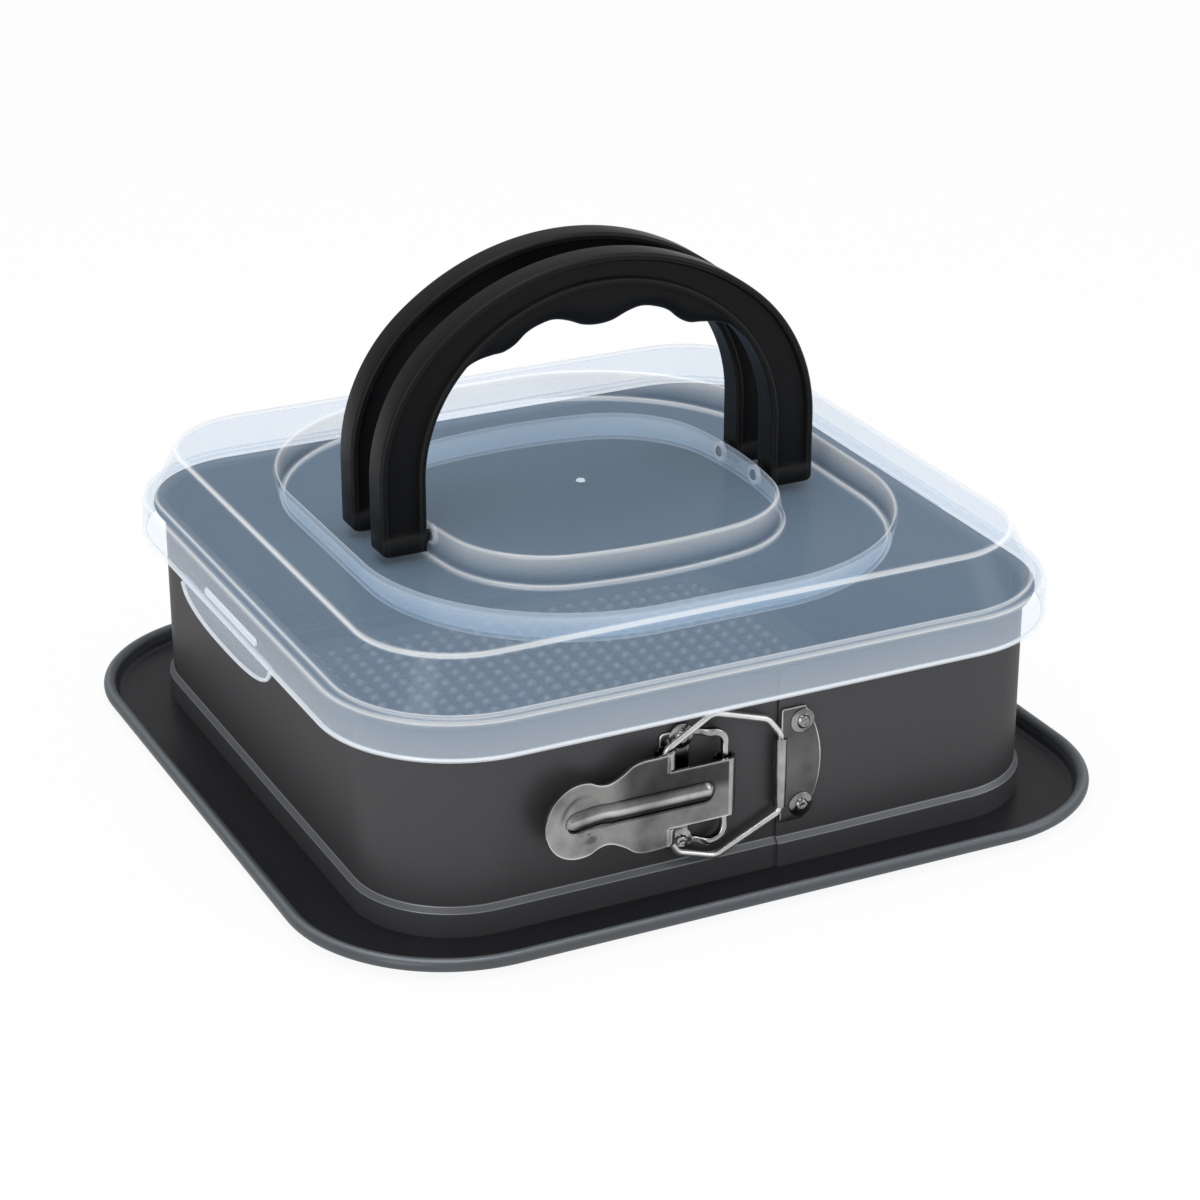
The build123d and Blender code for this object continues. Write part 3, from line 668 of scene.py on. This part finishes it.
def handleArch(name, look, side):
    # the section hangs between the outer and inner arch curves; the finger grip grows down from the inner one
    foot, toe, panelFoot = look["foot"], look["toe"], look["foot"] + look["panelFoot"]
    legs = np.sort(np.concatenate([foot + toe * (1 - np.cos(np.linspace(0, math.pi / 2, 7))),
                                   [panelFoot - 0.05, panelFoot + 0.35],
                                   np.linspace(foot + 8, look["archBase"], 10)]))
    outer = threeCentred(look["outerX"], look["outerRise"], look, legs)
    inner = threeCentred(look["innerX"], look["innerRise"], look, legs)
    low = np.clip(toe - (outer[:, 1] - foot), 0, toe)
    outer[:, 0] -= np.sign(outer[:, 0]) * (toe - np.sqrt(toe ** 2 - low ** 2))
    half = np.array(look["grip"])
    grip = np.concatenate([half, half[-2::-1] * (-1, 1)])
    drop = np.zeros(len(inner))
    under = (np.abs(inner[:, 0]) < grip[-1, 0]) & (inner[:, 1] > look["archBase"])
    drop[under] = np.maximum(0, inner[under, 1] - smoothThrough(grip[:, 0], grip[:, 1], inner[under, 0]))
    across = unit(outer - inner)
    panel = np.where(outer[:, 1] > panelFoot + 0.15, look["depth"], 0.0)
    edge, rim, deep = look["edge"], look["rim"], look["thick"] / 2
    whole = np.ones(len(outer))
    quarter = np.linspace(0, math.pi / 2, 6)

    def rounded(line, way, soft, turns):
        return [(line + way * across * soft * (1 - math.cos(a)), (deep - soft + soft * math.sin(a)) * whole)
                for a in turns]

    run = rounded(outer, -1, edge, quarter)
    run += [(outer - across * (rim + out), deep - panel * fall) for out, fall in look["brow"]]
    run += [(inner + across * (rim + out), deep - panel * fall) for out, fall in look["brow"][::-1]]
    run += rounded(inner, 1, edge * 0.7, quarter[::-1])
    down = np.stack([np.zeros(len(inner)), -drop], 1)
    run += [(inner + down * share, look["gripDepth"] * part * whole) for share, part in look["gripRound"]]
    profile = run + [(place, -depth) for place, depth in run[::-1]]
    # painted highlights make the edges and the panel's brows a little lighter, and the ledge at the panel's
    # foot too
    halfTone = look["edgeHighlight"] + look["browHighlight"]
    halfTone = np.array(halfTone + halfTone[::-1] + (0,) * len(look["gripRound"]), float)
    spot = np.arange(len(profile))
    panelEnd = len(quarter) + 2 * len(look["brow"])
    onPanel = (np.abs(spot - len(run) + 0.5) > len(run) - panelEnd - 1) & (spot % len(run) > 0)
    ledge = bell(outer[:, 1] - panelFoot, look["ledgeWidth"])
    tone = np.maximum(np.concatenate([halfTone, halfTone[::-1]])[None], ledge[:, None] * onPanel[None])
    middle = side * look["middle"]
    points = [np.stack([place[:, 0], middle - depth, place[:, 1]], 1) for place, depth in profile]
    parts = [gridPart(np.stack(points, 1), capStart=True, capEnd=True, tint=tone)]
    boss, bossEnd, stud, studEnd = (look[key] for key in ("boss", "bossEnd", "stud", "studEnd"))
    pivot = [(boss, look["innerX"] + 1.2), (boss, bossEnd + 0.3), (boss - 0.3, bossEnd), (stud, bossEnd),
             (stud, studEnd + 0.5), (stud - 0.5, studEnd), (0.3, studEnd)]
    parts += [turned(pivot, laid(0, (0, middle, look["pivotZ"]), end)) for end in (1, -1)]
    return makePiece(name, parts, 40)


for label, node, body, side in (("front_arch", "front_handle", "front_grip", -1),
                                ("rear_arch", "rear_handle", "rear_grip", 1)):
    dress(handleArch(label, handleLook, side), blackPlastic, body, "black_plastic", node)
print("handles made")


ringLook = {
    "half": (120.0, 117.6, 34.0), "sheet": 1.0, "bottom": 1.0, "footProud": 1.5, "footTop": 9.4,
    "footSlope": 1.7, "rimRadius": 2.4, "rimOut": 1.3, "rimZ": 74.65, "rimRoll": (-150, 180),
    "lapStep": 0.8, "lapX": 12.8, "lapFlat": 34.0, "lapEnd": 84.0, "stepHighlight": 0.25, "paintedFootLight": 0.08}


def ringSheet(look):
    # the sheet's section carried round the square; past the lap its outer face stands proud and runs back
    halfX, halfY, corner = look["half"]
    proud, sheet, footTop, rimZ = look["footProud"], look["sheet"], look["footTop"], look["rimZ"]
    stops = (look["lapX"] - 0.02, look["lapX"] + 0.02, look["lapFlat"], look["lapEnd"])
    core, normal = squareColumns(halfX, halfY, corner, 40, 16, stops)
    kneeZ = footTop + look["footSlope"]
    outside, hazeAndPaintedLight = bentProfile(
        [(proud, look["bottom"]), (proud, footTop), (0, kneeZ), (0, rimZ - look["rimRadius"] - 0.6)],
        [0.6, 0.7], 6, 0.3, 2)
    # painted highlights lie along the foot step's two bends and over the step between them; the foot band
    # below is lifted a little by painted light
    height = outside[:, 1]
    hazeAndPaintedLight = np.where((height > footTop) & (height < kneeZ), np.maximum(hazeAndPaintedLight, look["stepHighlight"]), hazeAndPaintedLight)
    hazeAndPaintedLight = np.where(height < footTop - 0.4, look["paintedFootLight"], hazeAndPaintedLight)
    turn = np.radians(np.linspace(*look["rimRoll"], 22))
    rim = look["rimRadius"]
    roll = np.stack([look["rimOut"] + rim * np.cos(turn), rimZ + rim * np.sin(turn)], 1)
    inside = softCorners(
        [(-sheet, rimZ), (-sheet, kneeZ), (proud - sheet, footTop), (proud - sheet, look["bottom"])],
        [1.2, 0.6], 5)
    section = np.concatenate([outside, roll, inside])
    front = (normal[:, 1] < -0.999) & (np.abs(core[:, 0]) < halfX - corner + 0.01)
    run = np.clip((look["lapEnd"] - core[:, 0]) / (look["lapEnd"] - look["lapFlat"]), 0, 1)
    lap = np.where(front & (core[:, 0] > look["lapX"]), look["lapStep"] * run, 0.0)
    onOuter = np.arange(len(section)) < len(outside)
    offset = section[:, :1] + onOuter[:, None] * lap
    place = core + normal * (corner + offset)[..., None]
    height = np.repeat(section[:, 1:], len(core), axis=1)
    points = np.concatenate([place, height[..., None]], axis=-1)
    tone = np.concatenate([hazeAndPaintedLight, np.zeros(len(section) - len(outside))])
    return makePiece("ring_sheet", gridPart(points, closedRows=True, tint=tone), 50)


dress(ringSheet(ringLook), coatedSteel, "ring", "coated_steel", "springform_ring")
print("ring made")


trayLook = {
    "half": (144.8, 142.4, 56.0), "sheet": 1.0, "lip": 2.2, "lipZ": 4.2, "rollHighlight": (0.45, 0.55),
    "ridge": (119.9, 117.5, 34.0), "ridgeWidth": 7.0, "ridgeTop": 6.0, "floorInset": 0.6, "floorWall": 0.6,
    "cell": 7.0, "cellHeight": 1.2, "cellSteep": 0.65, "cellHighlight": 0.35, "floorStep": 1.05, "border": 9.0,
    "borderFade": 3.0}


def traySheet(look):
    # rows run from the underside's middle to the lip, round its roll, over the border and ridge to the floor
    angles = fullTurn(400)
    lip, sheet = look["lip"], look["sheet"]
    turn = np.linspace(math.radians(-75), math.radians(190), 18)
    roll = np.stack([lip * np.cos(turn) - lip, look["lipZ"] + lip * np.sin(turn)], 1)
    under = [(-40.0, 0.0), (-9.0, 0.0), (-lip - 3.0, 0.0), (-lip - 1.6, 1.2)]
    down = softCorners([roll[-1], (-lip - 3.4, sheet), (-12.0, sheet), (-15.0, sheet)], [2.0, 0], 5)
    width, top = look["ridgeWidth"], look["ridgeTop"]
    ridge = softCorners([(2.0, sheet), (0.0, sheet), (-0.4, top), (-width + 0.4, top), (-width, sheet - 0.2),
                         (-width - 3, sheet - 0.2)], [0.3, 1.4, 1.4, 0.8], 5)
    rows = outlineRows(np.concatenate([under, roll, down[1:]]), look["half"], angles)
    rows += outlineRows(ridge, look["ridge"], angles)
    first, last = rows[0], rows[-1]
    middle = [(first[0] * share, 0.0) for share in (0.1, 0.5)]
    rows = middle + rows + [(last[0] * share, last[1]) for share in (0.5, 0.1)]
    # the roll carries a painted highlight, strongest along its crest
    tone = np.zeros(len(rows))
    start = len(middle) + len(under)
    plain, crest = look["rollHighlight"]
    tone[start:start + len(roll)] = plain + crest * bell(turn - math.radians(70), math.radians(22))
    part = gridPart(polarPoints(rows, angles), capStart=True, capEnd=True, tint=tone)
    return makePiece("tray_sheet", part, 50)


def embossedFloor(look):
    # square grid of soft pillows: height is the product of two steepened cosines, faded out at the border
    halfX, halfY = (look["ridge"][k] - look["ridgeWidth"] - look["floorInset"] for k in (0, 1))
    gridX, gridY = np.meshgrid(*(np.arange(-half, half + 0.5, look["floorStep"]) for half in (halfX, halfY)))
    pattern = 1.0
    for along, half in ((gridX, halfX), (gridY, halfY)):
        pillow = smoothStep(0.5 + look["cellSteep"] * np.cos(2 * math.pi * along / look["cell"]))
        fade = np.clip((half - look["border"] - np.abs(along)) / look["borderFade"], 0, 1)
        pattern = pattern * pillow * fade
    # the square sheet's corners are pulled in to the ridge's round ones
    reach = np.maximum(np.abs(gridX) / halfX, np.abs(gridY) / halfY)
    turn = np.arctan2(gridY, gridX) % (2 * math.pi)
    edge = squareRadii(halfX, halfY, look["ridge"][2] - look["ridgeWidth"], turn.ravel()).reshape(turn.shape)
    box = np.where(reach > 0, np.hypot(gridX, gridY) / np.maximum(reach, 1e-9), 1.0)
    pull = np.where(reach > 0, np.minimum(1.0, edge / box), 1.0)
    scale = 1 - (1 - pull) * np.clip((reach - 0.5) / 0.5, 0, 1) ** 2
    points = np.stack([gridX * scale, gridY * scale, look["sheet"] + look["cellHeight"] * pattern], axis=-1)
    # the pillows' tops carry a painted highlight
    part = gridPart(points, closed=False, flip=False, tint=look["cellHighlight"] * pattern)
    return makePiece("tray_floor", part, 60)


dress(traySheet(trayLook), paintedShadeCoatedSteel, "tray", "coated_steel", "base_tray")
floorPiece = embossedFloor(trayLook)
thicken(floorPiece, trayLook["floorWall"])
dress(floorPiece, coatedSteel, "tray", "coated_steel")
print("tray made")


leverLook = {
    "hinge": (-8.2, -121.3), "bore": 1.35, "sheet": 1.1, "arm": 10.0, "shoulder": 16.2, "hookAt": 21.3,
    "outline": ((30.3, 16.2), (33.2, 15.4), (37.3, 12.7), (42.8, 10.5), (46.0, 11.0), (48.3, 12.05)),
    "tip": (52.42, 12.88), "rib": (31.1, 51.0, 6.4, 1.4), "bend": (42.0, 2.0), "dish": 0.9,
    "dimple": (48.5, -6.8, 2.4, 0.5), "hookBar": (-29.3, -121.38), "hookRadius": 2.3, "hookInset": 0.5,
    "cutRound": 0.22}


def leverPlate(look):
    # rows run round the knuckle and out to the thumb end; rib, dish, bend and dimple are laid on as relief;
    # u is the way from the hinge along the lever, z the height over its middle, w half the width there
    hingeX, hingeY = look["hinge"]
    arm, hookAt = look["arm"], look["hookAt"]
    radius = look["bore"] + look["sheet"]
    curl = np.radians(np.linspace(170, -90, 30))
    rows = [(hingeX + radius * math.cos(a), hingeY + radius * math.sin(a), arm, -1.0) for a in curl]
    centre, round_ = look["tip"]
    outline = np.array(look["outline"])
    waist = np.linspace(30.6, 48.0, 40)
    start = math.asin((outline[-1, 0] - centre) / round_)
    tip = centre + round_ * np.sin(np.linspace(start, math.radians(88), 36))
    plate = [(u, arm) for u in np.linspace(0.4, hookAt - 0.06, 44)]
    plate += [(u, look["shoulder"]) for u in np.linspace(hookAt, 30.0, 16)]
    plate += list(zip(waist, smoothThrough(outline[:, 0], outline[:, 1], waist)))
    plate += [(u, math.sqrt(max(round_ ** 2 - (u - centre) ** 2, 0.04))) for u in tip]
    rows += [(hingeX - u, hingeY - radius, w, u) for u, w in plate]
    x, y, w, u = (np.array(column)[:, None] for column in zip(*rows))
    # the inner columns run straight along the lever, the outer ones follow its outline
    v = np.linspace(-1, 1, 91)[None, :]
    far = np.abs(v)
    inner = np.minimum(arm - 0.3, 0.97 * w)
    z = np.sign(v) * np.where(far < 0.6, far / 0.6 * inner, inner + (far - 0.6) / 0.4 * (w - inner))
    ribMiddle, ribLength, ribWidth, ribProud = look["rib"]
    ribZ = -0.9 * smoothStep((u - 40) / 18)
    away = np.hypot(np.maximum(np.abs(u - ribMiddle) - (ribLength - ribWidth) / 2, 0), z - ribZ)
    relief = ribProud * smoothStep((ribWidth / 2 + 0.3 - away) / (ribWidth * 0.36))
    relief -= 0.18 * bell(away - ribWidth / 2 - 0.5, 0.5)
    bendFrom, bendOut = look["bend"]
    relief += bendOut * np.clip((u - bendFrom) / 23, 0, 1) ** 2
    relief -= look["dish"] * (1 - smoothStep((np.hypot(u - centre + 1.5, z) - 6.0) / 5.0))
    dimpleU, dimpleZ, dimpleRadius, dimpleDeep = look["dimple"]
    relief -= dimpleDeep * bell(np.hypot(u - dimpleU, z - dimpleZ), dimpleRadius * 0.6)
    relief += 0.5 * smoothStep((u - 20) / 6) * smoothStep((36 - u) / 6) * smoothStep((np.abs(z) - 8) / 6)
    relief = np.where(u > 0, relief, 0.0) * smoothStep(u / 3)
    points = np.stack(np.broadcast_arrays(x, y - relief, latchZ + z), axis=-1)
    # painted highlights along the cut edges, the shoulders' ends and the rib's crest; painted shade beside
    # the rib, on the upper half near the hinge and over most of the plate short of the thumb
    onRib = smoothStep((ribLength / 2 - 0.5 - np.abs(u - ribMiddle)) / 2)
    side = z - ribZ
    tone = 0.45 * smoothStep((u - 46) / 12) - 0.45
    tone = tone - 0.45 * smoothStep((z + 1) / 5) * smoothStep((42 - u) / 8)
    tone += 1.5 * onRib * (0.6 + 0.4 * smoothStep((30 - u) / 16)) * bell(side - 0.9, 1.0)
    tone += onRib * (0.5 * bell(side + 2.4, 0.5) - 0.9 * bell(side + 1.1, 0.7))
    tone -= 0.5 * bell(away - ribWidth / 2 - 0.3, 0.5) * (side > 0)
    tone += 1.3 * bell(w - np.abs(z), 0.4)
    tone += 0.8 * bell(u - hookAt - 0.5, 0.4) * (np.abs(z) > arm)
    tone = np.where(u > 0, tone, 0.1)
    return gridPart(points, closed=False, flip=True, tint=np.clip(tone, -1, 1))


def rolled(axis, radius, turn, low, high, count):
    # face of a sheet rolled about an upright axis, from low to high beside the latch's middle
    z = latchZ + np.linspace(low, high, count)[None, :]
    x, y = axis[0] + radius * np.cos(turn)[:, None], axis[1] + radius * np.sin(turn)[:, None]
    return np.stack(np.broadcast_arrays(x, y, z), -1)


def leverHooks(look):
    # the shoulders' ends rolled back round the bail's bar
    turn = np.radians(np.linspace(-96, 165, 22))
    low, high = look["arm"] + look["hookInset"], look["shoulder"]
    faces = [rolled(look["hookBar"], look["hookRadius"], turn, *ends, 8)
             for ends in ((low, high), (-high, -low))]
    # painted light round each roll: a painted highlight on its front fading to painted shade round its back
    tone = np.linspace(0.5, -0.6, len(turn))
    return [gridPart(face, closed=False, flip=False, tint=tone) for face in faces]


leverPiece = makePiece("lever_plate", [leverPlate(leverLook)] + leverHooks(leverLook), 50)
thicken(leverPiece, leverLook["sheet"], leverLook["cutRound"])
dress(leverPiece, platedSteel, "lever", "plated_steel", "latch_lever")


bailLook = {
    "pivot": (12.5, -120.56), "radius": 1.1, "length": 42.0, "barY": -121.4,
    "bends": ((0.0, 12.5), (5.0, 19.0), (25.0, 25.6), (42.0, 16.0), (42.0, -13.5), (37.0, -21.1),
              (23.5, -25.6), (0.0, -15.2)),
    "radii": (5.0, 6.0, 5.0, 4.0, 3.0, 4.0, 5.0, 3.0)}


def bailWire(look):
    # the wire's bends rounded, in a plane that leans from the keeper's knuckle to the lever's hooks
    pivotX, pivotY = look["pivot"]
    lean = math.asin((pivotY - look["barY"]) / look["length"])
    along, z = softLoop(look["bends"], look["radii"], 10).T
    line = np.stack([pivotX - along * math.cos(lean), pivotY - along * math.sin(lean), latchZ + z], 1)
    return makePiece("bail_wire", tubeAlong(line, look["radius"], True, 20))


dress(bailWire(bailLook), brightWire, "bail", "bright_wire", "latch_bail")


keeperLook = {
    "pivot": (12.5, -120.56), "sheet": 1.0, "bore": 1.16, "half": 20.3, "edge": 9.5, "bulge": 15.7,
    "left": 0.9, "low": 13.0, "long": 24.2}


def keeperSheet(look):
    # D-shaped plate on the lap and its left edge rolled forwards round the bail's bar
    pivotX, bore, sheet = look["pivot"][0], look["bore"], look["sheet"]
    half, bulge = look["half"], look["bulge"]
    sagitta = bulge - look["edge"]
    bow = (half ** 2 + sagitta ** 2) / (2 * sagitta)
    turn = np.linspace(math.asin(half / bow), -math.asin(half / bow), 40)
    arc = np.stack([pivotX + bulge - bow + bow * np.cos(turn), bow * np.sin(turn)], 1)
    left = pivotX + look["left"]
    outline = np.concatenate([[(left, half)], arc, [(left, -half)]])[::-1]
    cornered = softLoop(outline, [0.8] + [0.0] * len(arc) + [0.8], 4)
    # the plate is given painted shade and its rounded rims a painted highlight
    plate = slab(cornered, laid(1, (0, lapFront, latchZ), -1), sheet, 0.25, -0.75, 0.7)
    turn = np.radians(np.linspace(60, 335, 30))
    front, back = (rolled(look["pivot"], radius, turn, -look["low"], look["long"] - look["low"], 16)
                   for radius in (bore + sheet, bore))
    curl = gridPart(np.concatenate([front, back[:, ::-1]], axis=1), capStart=True, capEnd=True)
    return makePiece("keeper_sheet", [plate, curl], 40)


dress(keeperSheet(keeperLook), platedSteel, "ring", "plated_steel", "keeper_plate")


bracketLook = {
    "left": -30.0, "right": -8.2, "half": 20.5, "sheet": 1.0, "plateTo": -19.5, "strap": 2.4, "bar": 1.3,
    "strapDeep": 1.5, "round": 6.0, "stepFrom": -18.5, "stepTo": -13.5, "loopY": -121.3, "stride": 0.8,
    "squareness": 0.45}


def bracketSheet(look):
    # flat plate on the ring, and a strap that steps forwards, rounds the corner and thins to the hinge bar
    half, strap, sheet, bar, right = look["half"], look["strap"], look["sheet"], look["bar"], look["right"]
    left, plateTo = look["left"], look["plateTo"]
    plate = softLoop([(left, -half), (plateTo, -half), (plateTo, half), (left, half)],
                     (1.5, 0.8, 0.8, 1.5), 4)
    # the plate is given painted shade and its rounded rims a painted highlight
    parts = [slab(plate, laid(1, (0, wallFront, latchZ), -1), sheet, 0.25, -0.35, 0.8)]
    run = half - strap / 2
    line = softCorners([(plateTo - 1.0, run), (right, run), (right, -run), (plateTo - 1.0, -run)],
                       [look["round"] - strap / 2] * 2, 10)
    dense = [line[0]]
    for a, b in zip(line[:-1], line[1:]):
        count = max(1, int(np.linalg.norm(b - a) / look["stride"]))
        dense += [a + (b - a) * k / count for k in range(1, count + 1)]
    line = np.array(dense)
    along = unit(np.gradient(line, axis=0))
    onBar = smoothStep((run - 1.0 - np.abs(line[:, 1:])) / 5.0)
    rise = smoothStep((line[:, :1] - look["stepFrom"]) / (look["stepTo"] - look["stepFrom"]))
    wide = strap / 2 * (1 - onBar) + bar * onBar
    deep = (sheet / 2 * (1 - rise) + look["strapDeep"] * rise) * (1 - onBar) + bar * onBar
    y = (wallFront - sheet / 2) * (1 - rise) + look["loopY"] * rise
    # the section is squarish on the strap and round on the bar
    angle = fullTurn(24)
    power = look["squareness"] + (1 - look["squareness"]) * onBar
    across = signedPower(np.cos(angle), power) * wide
    outward = signedPower(np.sin(angle), power) * deep
    x, z = line[:, :1] + along[:, 1:] * across, line[:, 1:] - along[:, :1] * across
    points = np.stack([x, y - outward, latchZ + z], axis=-1)
    # painted light round the strap's section: painted shade at its two side edges, a painted highlight on its
    # corners and back, a faint one on its front
    paintedLight = np.where(np.sin(angle) > 0.8, 0.1, np.where(np.abs(np.cos(angle)) > 0.95, -0.6, 0.6))
    parts.append(gridPart(points, capStart=True, capEnd=True, tint=np.tile(paintedLight, (len(line), 1))))
    return makePiece("bracket_sheet", parts, 45)


dress(bracketSheet(bracketLook), platedSteel, "ring", "plated_steel", "latch_bracket")


rivetLook = {
    "tail": 4.3, "shank": 1.9, "inside": -116.6, "tailThick": 0.7, "columns": 36,
    "head": ((4.3, 0.0), (4.25, 0.3), (3.9, 0.5), (2.7, 0.55), (2.35, 0.75), (2.1, 1.25), (1.7, 1.6),
             (1.1, 1.7), (0.8, 1.55), (0.3, 1.45))}


def rivetHead(name, x, z, face, look):
    # flanged disc with a raised hollow button in front, shank through the sheets and a flat tail inside
    inside, tail, shank = look["inside"], look["tail"], look["shank"]
    back = inside + look["tailThick"]
    profile = [(radius, face - out) for radius, out in look["head"][::-1]]
    profile += [(shank, face), (shank, inside), (tail, inside), (tail - 0.5, back), (0.3, back)]
    return makePiece(name, turned(profile, laid(1, (x, 0, latchZ + z)), look["columns"]), 30)


for label, node, x, z, face in (("keeper_rivet_top", "upper_keeper_rivet", 21.0, 15.0, lapFront - 1.0),
                                ("keeper_rivet_low", "lower_keeper_rivet", 21.0, -15.0, lapFront - 1.0),
                                ("bracket_rivet_top", "upper_bracket_rivet", -22.5, 18.5, wallFront - 1.0),
                                ("bracket_rivet_low", "lower_bracket_rivet", -22.5, -18.5, wallFront - 1.0)):
    dress(rivetHead(label, x, z, face, rivetLook), platedSteel, "ring", "plated_steel", node)
print("latch made")


stageLook = {
    "size": 6.0, "drop": 0.0001, "floorColour": (0.86, 0.86, 0.86), "floorRoughness": 0.9, "glow": 0.92,
    "worldColour": (1.0, 1.0, 1.0), "worldStrength": 0.5}


def whiteStage(look):
    # the floor lies a hair below the tray, is white to camera and reflections, and clear from underneath
    size, low = look["size"], -look["drop"]
    mesh = bpy.data.meshes.new("studio_floor")
    corners = [(x * size, y * size, low) for x, y in ((-1, -1), (1, -1), (1, 1), (-1, 1))]
    mesh.from_pydata(corners, [], [(0, 1, 2, 3)])
    floor = linked("studio_floor", mesh)
    material = bpy.data.materials.new("paleFloor")
    material.use_nodes = True
    nodes, links = material.node_tree.nodes, material.node_tree.links
    shader = nodes["Principled BSDF"]
    setSockets(shader, {"Base Color": (*look["floorColour"], 1), "Roughness": look["floorRoughness"]})
    glow = addNode(nodes, "Emission", {"Strength": 1.0})
    path = addNode(nodes, "LightPath")
    seen = addNode(nodes, "Math", operation="ADD")
    seenToo = addNode(nodes, "Math", operation="ADD", use_clamp=True)
    share = addNode(nodes, "Math", {1: look["glow"]}, operation="MULTIPLY")
    mixer, sided = addNode(nodes, "MixShader"), addNode(nodes, "MixShader")
    clear, under = addNode(nodes, "BsdfTransparent"), addNode(nodes, "NewGeometry")
    for ends in ((path, "Is Camera Ray", seen, 0), (path, "Is Glossy Ray", seen, 1),
                 (seen, "Value", seenToo, 0), (path, "Is Transmission Ray", seenToo, 1),
                 (seenToo, "Value", share, 0), (share, "Value", mixer, "Fac"), (shader, "BSDF", mixer, 1),
                 (glow, "Emission", mixer, 2), (under, "Backfacing", sided, "Fac"),
                 (mixer, "Shader", sided, 1), (clear, "BSDF", sided, 2),
                 (sided, "Shader", nodes["Material Output"], "Surface")):
        wire(links, *ends)
    mesh.materials.append(material)
    world = bpy.data.worlds.new("softWhite")
    bpy.context.scene.world = world
    world.use_nodes = True
    nodes, links = world.node_tree.nodes, world.node_tree.links
    back = nodes["Background"]
    setSockets(back, {"Color": (*look["worldColour"], 1), "Strength": look["worldStrength"]})
    sky = addNode(nodes, "Background", {"Color": (1, 1, 1, 1), "Strength": 1.0})
    path, mixer = addNode(nodes, "LightPath"), addNode(nodes, "MixShader")
    for ends in ((path, "Is Camera Ray", mixer, "Fac"), (back, "Background", mixer, 1),
                 (sky, "Background", mixer, 2), (mixer, "Shader", nodes["World Output"], "Surface")):
        wire(links, *ends)


def softLamp(name, place, aim, size, power):
    data = bpy.data.lights.new(name, "AREA")
    data.shape = "RECTANGLE"
    data.size, data.size_y = size
    data.energy = power
    lamp = linked(name, data)
    lamp.location = place
    lamp.rotation_euler = (Vector(aim) - Vector(place)).to_track_quat("-Z", "Y").to_euler()


whiteStage(stageLook)
lampAim = (0, 0, 0.05)
softLamp("topSoftbox", (-0.1, 0.1, 1.6), lampAim, (1.4, 1.2), 16)
softLamp("leftSoftbox", (-1.2, -0.9, 0.55), lampAim, (0.6, 1.0), 6)
softLamp("rightSoftbox", (1.3, -1.0, 0.8), lampAim, (0.8, 1.2), 7)

cameraLook = {"place": (-0.4453, -0.9232, 0.5035), "yaw": 26.12, "pitch": 23.83, "lens": 96.61,
              "sensor": 36.0}
cameraData = bpy.data.cameras.new("photoCamera")
cameraData.lens = cameraLook["lens"]
cameraData.sensor_width = cameraLook["sensor"]
camera = linked("photoCamera", cameraData)
camera.location = cameraLook["place"]
camera.rotation_euler = (math.radians(90 - cameraLook["pitch"]), 0, math.radians(-cameraLook["yaw"]))
bpy.context.scene.camera = camera
bpy.context.scene.view_settings.view_transform = "Standard"
print("stage, lamps and camera made")
